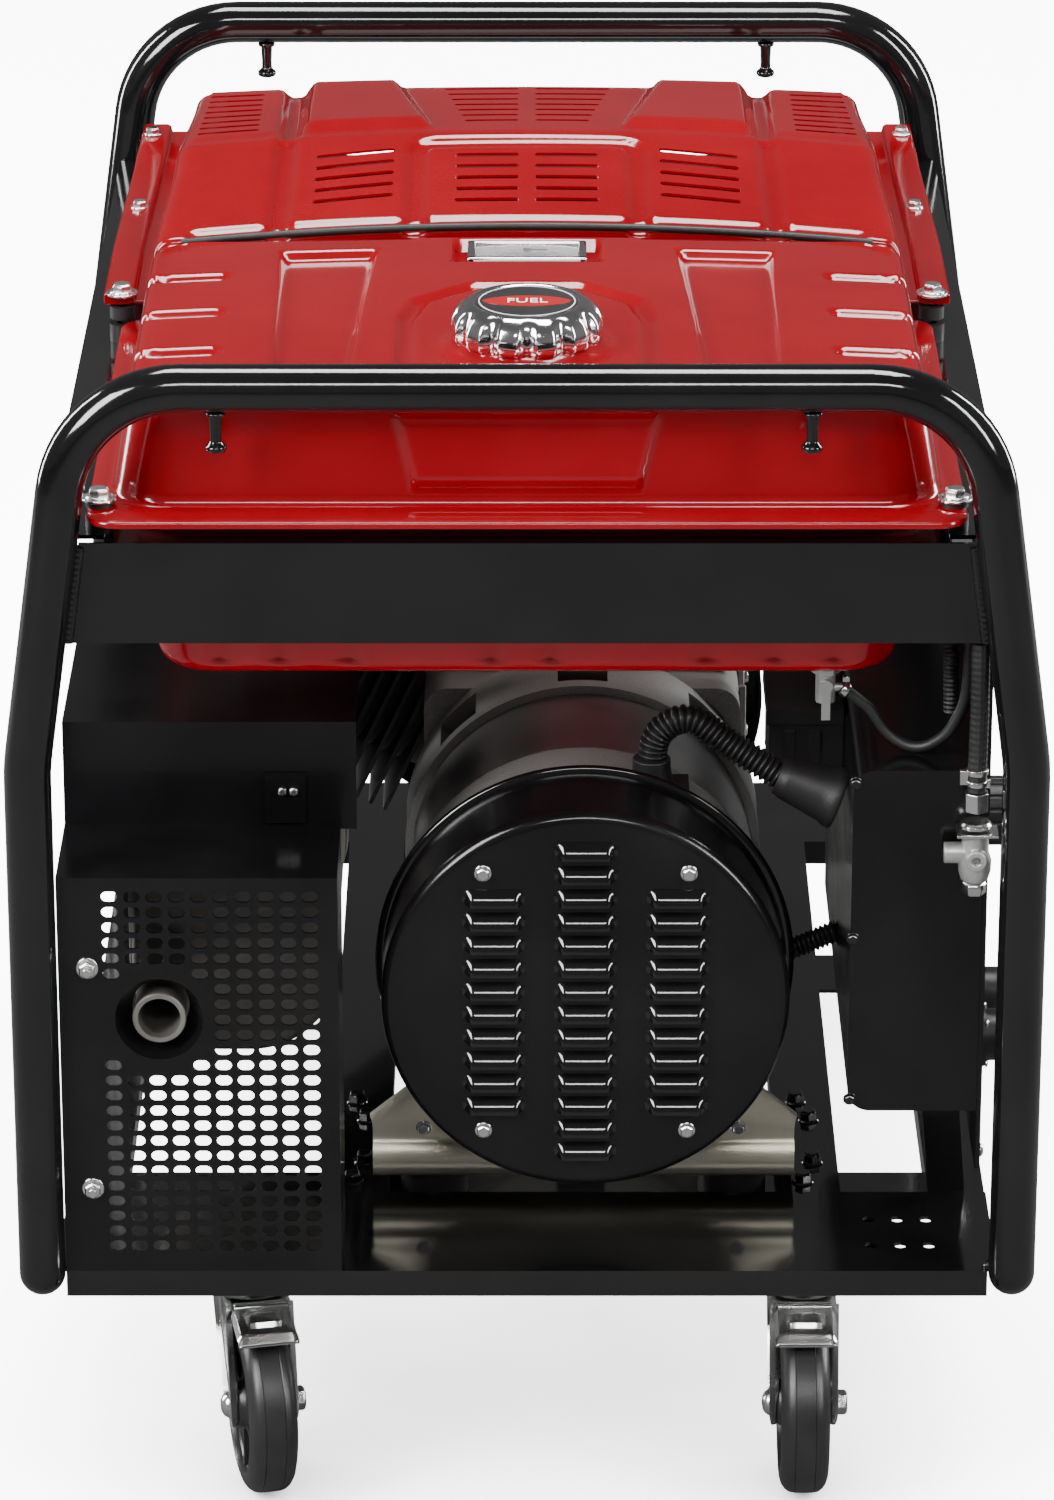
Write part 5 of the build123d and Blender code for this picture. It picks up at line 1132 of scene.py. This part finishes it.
def fork(site, place):
    """Pressed fork: flanged legs, swivel cup with a ball race, axle bolt and nut."""
    bm = bmesh.new()
    for side in (-1, 1):
        shell_from_grid(bm, fork_leg(side), FORK_WALL, (-side, 0, 0))
    add_box(bm, -22.5, 22.5, -27, 31, 135.2, 138.4)
    add_lathe(bm, [(0, 6.1), (0, 24), (2.5, 29.5), (6, 31.5), (9.6, 31.5), (11.4, 29), (11.8, 24), (11.8, 6.1),
                   (0, 6.1)], (0, 0, 138), (0, 0, 1), 72)
    bmesh.ops.transform(bm, matrix=place, verts=bm.verts)
    finish_piece("fork_pressing_" + site, bm, "zinc_plate", "caster_" + site, ("caster_fork_" + site,), angle=40,
                 bevel=0.5)
    axle = bmesh.new()
    add_rod(axle, (-31, TRAIL, AXLE_Z), (1, 0, 0), 58, 5.0, 32)
    hex_head(axle, (-FORK_HALF - 2.7, TRAIL, AXLE_Z), (-1, 0, 0), 9.0, 8.5)
    add_lathe(axle, [(0, 0), (0, 9.5), (2.0, 9.2), (4.5, 7.4), (6.0, 4.6), (6.6, 0)],
              (FORK_HALF + 2.7, TRAIL, AXLE_Z), (1, 0, 0), 40)
    bmesh.ops.transform(axle, matrix=place, verts=axle.verts)
    finish_piece("axle_bolt_" + site, axle, "zinc_plate", "caster_" + site, bevel=0.5, angle=35)


def pedal(site, place):
    """Bent brake pedal with side flanges and a raised tread."""
    bm = bmesh.new()
    rows = []
    for y in [2.0 + 36.0 * k / 11 for k in range(12)]:
        drop = 3.2 * ease(30, 38, y)
        line = []
        for u in [-1 + 2 * j / 16 for j in range(17)]:
            x = 21.5 * u
            side_drop = 6.5 * ease(0.84, 1.0, abs(u)) * (1 - 0.75 * ease(24, 38, y))
            tread = 3.0 * (1 - ease(10.0, 12.5, abs(x))) * ease(8, 10.5, y) * (1 - ease(22, 24.5, y))
            line.append((x, y, 2.0 - drop - side_drop + tread))
        rows.append(line)
    shell_from_grid(bm, rows, 2.2, (0, 0, -1))
    add_box(bm, -20, 20, 30, 36.5, -5.2, -2.8)
    tilt = Matrix.Translation(PEDAL_PIN) @ Matrix.Rotation(radians(-14), 4, "X")
    bmesh.ops.transform(bm, matrix=tilt, verts=bm.verts)
    add_rod(bm, (-18.9, *PEDAL_PIN[1:]), (1, 0, 0), 37.8, 4.0, 28)
    bmesh.ops.transform(bm, matrix=place, verts=bm.verts)
    finish_piece("pedal_plate_" + site, bm, "zinc_plate", "pedal_" + site, ("brake_pedal_" + site,), bevel=0.4,
                 angle=40)


def casters():
    for site, x_side, y_side in (("front_left", -1, -1), ("front_right", 1, -1), ("rear_left", -1, 1),
                                 ("rear_right", 1, 1)):
        place = caster_frame(x_side, y_side)
        wheel(site, place)
        fork(site, place)
        if y_side < 0:
            pedal(site, place)


def alternator_foot():
    """Pressed alternator foot: an upright plate with chamfered shoulders on a rounded pad."""
    bm = bmesh.new()
    x0, x1 = -109.0, 189.0
    shoulder_z, rise, run = 232, 30.0, 36
    rows = []
    for x in [x0 + (x1 - x0) * k / 40 for k in range(41)]:
        top = shoulder_z + min(rise, min(x - x0, x1 - x) * rise / run)
        section = [(-260.5, 192.5), (-315.0, 192.5), (-319.5, 196.0), (-320.6, 203.0), (-319.0, 210.0), (-315.6, 213.6),
                   (-313.6, 216.0), (-312.6, 220.0), (-312.6, 226.0), (-312.6, max(227.0, top - 2)), (-311.6, top),
                   (-308.2, top), (-307.2, top - 1)]
        rows.append([(x, y, z) for y, z in section])
    shell_from_grid(bm, rows, 3.2, (0, 1, 0.2))
    finish_piece("foot_pressing", bm, "galvanised", "frame", angle=50)


# ------------------------------------------------------------------ control panel
# Turns lettering from the XY plane to face +X, reading along +Y.
FACE_ON = Matrix(((0, 0, 1, 0), (1, 0, 0, 0), (0, 1, 0, 0), (0, 0, 0, 1)))


def border(y0, y1, z0, z1, wide):
    """The four bars (y0, y1, z0, z1) of a frame that lies inside a rectangle."""
    return ((y0, y1, z0, z0 + wide), (y0, y1, z1 - wide, z1), (y0, y0 + wide, z0 + wide, z1 - wide),
            (y1 - wide, y1, z0 + wide, z1 - wide))


def panel_words(bm, text, size, y, z):
    add_words(bm, text, size, (PANEL_X + 0.12, y, z), FACE_ON)


def panel_print():
    """Plain lettering, the welding current's scale and thin frames round each group of controls."""
    bm = bmesh.new()
    for text, size, y, z in (("WELDING CURRENT", 9, -356, 428), ("DC +", 10, -384, 362), ("DC -", 10, -312, 362),
                             ("BREAKERS", 7, -264, 476), ("HOURS", 7, -196, 476), ("IDLE", 7, -140, 476),
                             ("ENGINE", 7, -92, 476), ("AC 120 V", 9, -214, 352), ("AC 240 V", 9, -116, 352),
                             ("ARC WELDER", 24, -300, 585), ("GENERATOR", 12, -300, 558)):
        panel_words(bm, text, size, y, z)
    dial_start, dial_step, figure_circle = 225, 27, 39
    for step in range(11):
        turn = radians(dial_start - dial_step * step)
        tick = add_box(bm, PANEL_X, PANEL_X + 0.3, -0.6, 0.6, 27.5, 33.0 if step % 5 == 0 else 31.0)
        place = Matrix.Translation((0, *KNOB)) @ Matrix.Rotation(turn - pi / 2, 4, "X")
        bmesh.ops.transform(bm, matrix=place, verts=tick)
        if step % 2 == 0:
            panel_words(bm, str(50 + 15 * step), 6, KNOB[0] + figure_circle * cos(turn),
                        KNOB[1] + figure_circle * sin(turn))
    for group in ((-414, -292, 296, 540), (-286, -54, 296, 445), (-286, -54, 462, 540)):
        for bar in border(*group, 1):
            add_box(bm, PANEL_X, PANEL_X + 0.25, *bar)
    finish_piece("panel_print", bm, "print_white", "frame", angle=30)


def panel_trim():
    """Collars, earth stud, socket inserts, window frames and the hour meter's screen."""
    chrome = bmesh.new()
    for y, z, inner, outer, high in ((-282, 500, 6.8, 10, 3), (-246, 500, 6.8, 10, 3), (-92, 500, 8.8, 15, 5)):
        add_lathe(chrome, [(0, inner), (0, outer), (high * 0.7, outer), (high, outer - 1.2), (high, inner), (0, inner)],
                  (PANEL_X, y, z), (1, 0, 0), 48)
    for y in WELD_SOCKETS_Y:
        add_lathe(chrome, [(0, 0), (0, 6.9), (22, 6.9), (22, 5.0), (12, 4.6), (12, 0)],
                  (PANEL_X, y, WELD_SOCKET_Z), (1, 0, 0), 40)
        for dy, dz in ((-17, -17), (17, -17), (-17, 17), (17, 17)):
            pan_screw(chrome, (PANEL_X + 4, y + dy * 0.88, WELD_SOCKET_Z + dz * 0.88), (1, 0, 0), 3.0)
    add_rod(chrome, (PANEL_X, -66, 320), (1, 0, 0), 18, 4.0, 32)
    hex_head(chrome, (PANEL_X, -66, 320), (1, 0, 0), 7.6, 6.5)
    hex_head(chrome, (PANEL_X + 9, -66, 320), (1, 0, 0), 7.6, 6.0, False)
    finish_piece("panel_metal", chrome, "zinc_plate", "frame", bevel=0.3, angle=35)
    plastic = bmesh.new()
    for y in WELD_SOCKETS_Y:
        add_lathe(plastic, [(0, 7.1), (0, 22), (3.4, 22), (4, 21.4), (4, 18.2), (21, 17.6), (23, 16.6), (24, 15.0),
                            (24, 10.5), (20, 9.6), (20, 7.1), (0, 7.1)], (PANEL_X, y, WELD_SOCKET_Z), (1, 0, 0), 56)
    for window, high in (((-222, -170, 486, 514), 6.0), ((-151, -129, 486, 514), 3.6)):
        for bar in border(*window, 3):
            add_box(plastic, PANEL_X, PANEL_X + high, *bar)
    finish_piece("panel_plastic", plastic, "black_plastic", "frame", bevel=0.6, angle=35)
    digits = bmesh.new()
    add_words(digits, "00042.5", 13, (PANEL_X + 5.2, -196, 500), FACE_ON)
    finish_piece("meter_digits", digits, "cap_label", "frame", angle=30)
    screen = bmesh.new()
    add_box(screen, PANEL_X + 4.6, PANEL_X + 5.1, -218, -174, 490, 510)
    finish_piece("meter_screen", screen, "lcd", "frame")


def knob_pointer():
    bm = bmesh.new()
    add_box(bm, PANEL_X + 21.4, PANEL_X + 21.8, KNOB[0] - 1.2, KNOB[0] + 1.2, KNOB[1] + 6, KNOB[1] + 21)
    finish_piece("knob_pointer", bm, "print_white", "current_knob")


# ------------------------------------------------------------------ engine end
def recoil_trim():
    """Rolled rim, radial ribs, the pull rope's eyelet and the screws of the recoil housing."""
    spokes, seam_y, screw_circle = 10, 222, 108
    bm = bmesh.new()
    add_lathe(bm, [(0, 93), (0, 99.5), (2.5, 100.5), (5, 99.5), (5, 93), (0, 93)],
              (SHAFT_X, seam_y, SHAFT_Z), (0, 1, 0), 96)
    for k in range(spokes):
        turn = Matrix.Translation((SHAFT_X, 0, SHAFT_Z)) @ Matrix.Rotation(radians(360 / spokes * k + 18), 4, "Y")
        rib = add_box(bm, 32, 74, 271.2, 273.4, -2.2, 2.2)
        bmesh.ops.transform(bm, matrix=turn, verts=rib)
    add_lathe(bm, [(0, 26), (0, 30), (1.4, 30), (2.2, 28.8), (2.2, 26), (0, 26)],
              (SHAFT_X, 271.4, SHAFT_Z), (0, 1, 0), 64)
    finish_piece("recoil_trim", bm, "frame_black", "frame", bevel=0.5, angle=40)
    steel = bmesh.new()
    for k in range(4):
        turn = radians(90 * k + 45)
        place = (SHAFT_X + screw_circle * cos(turn), seam_y, SHAFT_Z + screw_circle * sin(turn))
        hex_head(steel, place, (0, 1, 0), 5.2, 5.0)
    add_lathe(steel, [(0, 3.6), (0, 8.5), (1.2, 9.2), (2.4, 8.5), (2.4, 3.6), (0, 3.6)],
              (SHAFT_X, 271.6, 446), (0, 1, 0), 40)
    for x, z in ((-60, 300), (-60, 440), (140, 300), (140, 440)):
        hex_head(steel, (x, 152.5, z), (0, 1, 0), 4, 4)
    finish_piece("recoil_screws", steel, "zinc_plate", "frame", bevel=0.3, angle=35)


def side_of(value):
    return 1 if value > 0 else -1


def air_cleaner_trim():
    """The lid's seam and its clips."""
    bm = bmesh.new()
    seam = []
    for turn in [2 * pi * k / 64 for k in range(65)]:
        cx, cy = cos(turn), sin(turn)
        seam.append((-140 + 61 * side_of(cx) * abs(cx) ** 0.25 + 14 * cx,
                     79 + 57 * side_of(cy) * abs(cy) ** 0.25 + 14 * cy, 660.0))
    add_tube(bm, seam, 2.2, 10)
    finish_piece("cleaner_seam", bm, "black_plastic", "frame", angle=60)
    clips = bmesh.new()
    for y in (45, 112):
        for x, way in ((-216.2, -1), (-63.8, 1)):
            add_box(clips, *sorted((x, x + way * 1.4)), y - 8, y + 8, 640, 682)
            add_rod(clips, (x + way * 1.2, y - 9, 662), (0, 1, 0), 18, 2.2, 16)
    finish_piece("cleaner_clips", clips, "zinc_plate", "frame", bevel=0.4, angle=35)


def muffler_trim():
    """The tail pipe's flared lip and the muffler's two rolled seams."""
    bm = bmesh.new()
    add_lathe(bm, [(0, 14.6), (0, 17.6), (-0.8, 18.3), (-2.4, 18.3), (-3.2, 17.6), (-3.2, 14.6), (0, 14.6)],
              (TAIL_PIPE_X, -443, SHAFT_Z), (0, 1, 0), 56)
    finish_piece("tail_pipe_lip", bm, "muffler_steel", "frame", angle=45)
    seams = bmesh.new()
    middle_x, middle_z, half_x, half_z, corner = -204.0, 388.0, 71.0, 92.0, 60.0
    for y in (-325, -88):
        seam = []
        for turn in [2 * pi * k / 96 for k in range(96)]:
            cx, cz = cos(turn), sin(turn)
            seam.append((middle_x + (half_x - corner) * side_of(cx) + corner * cx, y,
                         middle_z + (half_z - corner) * side_of(cz) + corner * cz))
        add_tube(seams, seam + seam[:1], 2.4, 10)
    finish_piece("muffler_seams", seams, "muffler_steel", "frame", angle=60)


def box_screws():
    """Black screws down the control box's front."""
    bm = bmesh.new()
    for z in (300, 420, 534):
        hex_head(bm, (221.5, -425, z), (0, -1, 0), 3.6, 3.4)
    finish_piece("box_screws", bm, "frame_black", "frame", bevel=0.3, angle=35)


def crankcase_trim():
    """Cast covers, ribs and bosses on the crankcase, with bolts, a drain plug and a data plate."""
    cast = bmesh.new()
    wall, cover = 154.6, CRANKCASE_SIDE
    add_box(cast, wall, cover, 4, 138, 262, 452)
    add_box(cast, -79, -74.6, 100, 138, 262, 330)
    for z in (256, 296, 336, 376, 416):
        add_box(cast, wall, cover + 1, -82, -60, z, z + 5)
    for y in (-60, -20):
        add_box(cast, wall, cover + 1, y, y + 5, 330, 462)
    for y in (-50, 10, 70, 130):
        add_box(cast, -70, 150, y, y + 5, 469.6, 474)
    add_rod(cast, (154, -30, 288), (1, 0, 0), 7, 19, 40, 17)
    add_rod(cast, (154, 40, 258), (1, 0, 0), 8, 13, 36, 12)
    finish_piece("crankcase_covers", cast, "cast_grey", "frame", bevel=1.6, segments=3, angle=40)
    bolts = bmesh.new()
    for k in range(5):
        z = 272 + 42.5 * k
        for y in (12, 130):
            hex_head(bolts, (cover, y, z), (1, 0, 0), 5.0, 5.0)
    for y in (50, 92):
        for z in (270, 444):
            hex_head(bolts, (cover, y, z), (1, 0, 0), 5.0, 5.0)
    hex_head(bolts, (162, 40, 258), (1, 0, 0), 7.5, 6.5)
    finish_piece("crankcase_bolts", bolts, "zinc_plate", "frame", bevel=0.4, angle=35)
    plate = bmesh.new()
    add_box(plate, 158.8, 159.6, 34, 108, 340, 396)
    finish_piece("data_plate", plate, "steel", "frame", bevel=0.2)
    words = bmesh.new()
    for row, text in enumerate(("OHV ENGINE", "4 STROKE", "OIL SAE 10W-30")):
        add_words(words, text, 9, (cover + 0.7, 71, 384 - 16 * row), FACE_ON)
    finish_piece("data_print", words, "cap_label", "frame", angle=30)


def engine_wiring():
    """Spark plug lead, starter cable and the throttle rod with its spring."""
    leads = bmesh.new()
    for route, bend, radius, sides in (
            ([(-232, 80, 474), (-246, 92, 500), (-236, 128, 540), (-196, 148, 548)], 24, 3.6, 16),
            ([(112, 34, 528), (118, 0, 548), (150, -40, 520), (196, -70, 470), (226, -76, 452)], 26, 5.0, 18)):
        add_tube(leads, resample(arc_path(route, bend), 3.0), radius, sides)
    finish_piece("engine_leads", leads, "rubber", "frame", angle=60)
    rod = bmesh.new()
    add_tube(rod, arc_path([(-120, 28, 588), (-80, 34, 560), (-20, 60, 500), (-10, 60, 474)], 16), 1.6, 12)
    points_a_turn, coil_radius = 16, 4.5
    coil = [(-100 + 0.28 * k, 44 + coil_radius * cos(turn), 590 - 0.26 * k + coil_radius * sin(turn))
            for k, turn in [(k, 2 * pi * k / points_a_turn) for k in range(241)]]
    add_tube(rod, coil, 0.9, 8)
    finish_piece("throttle_linkage", rod, "zinc_plate", "frame", angle=60)


for build in (tank_upper, tank_lower, fuel_neck, fuel_cap, fuel_gauge, hood, hood_strips, hood_gap_shadow, cover_louvres,
              cover_rim, bright_fasteners, black_fasteners, weld_beads, conduits, conduit_fittings, fuel_line,
              hose_clamps, fuel_valves, casters, alternator_foot, panel_print, panel_trim, knob_pointer, recoil_trim,
              air_cleaner_trim, muffler_trim, box_screws, crankcase_trim, engine_wiring):
    build()
# Plain CAD pieces keep their shape and get softened edges.
for node_name, width in (("base_frame", 1.2), ("upper_frame", 1.2), ("heat_shield", 1.0), ("control_box", 0.6),
                         ("control_panel", 0.8), ("crankcase", 2.0), ("cylinder", 0.8), ("caster_plates", 0.8),
                         ("air_cleaner", 1.0), ("recoil_grip", 2.0), ("carburettor", 1.0)):
    round_edges(NODES[node_name], width, angle=30, harden=True)
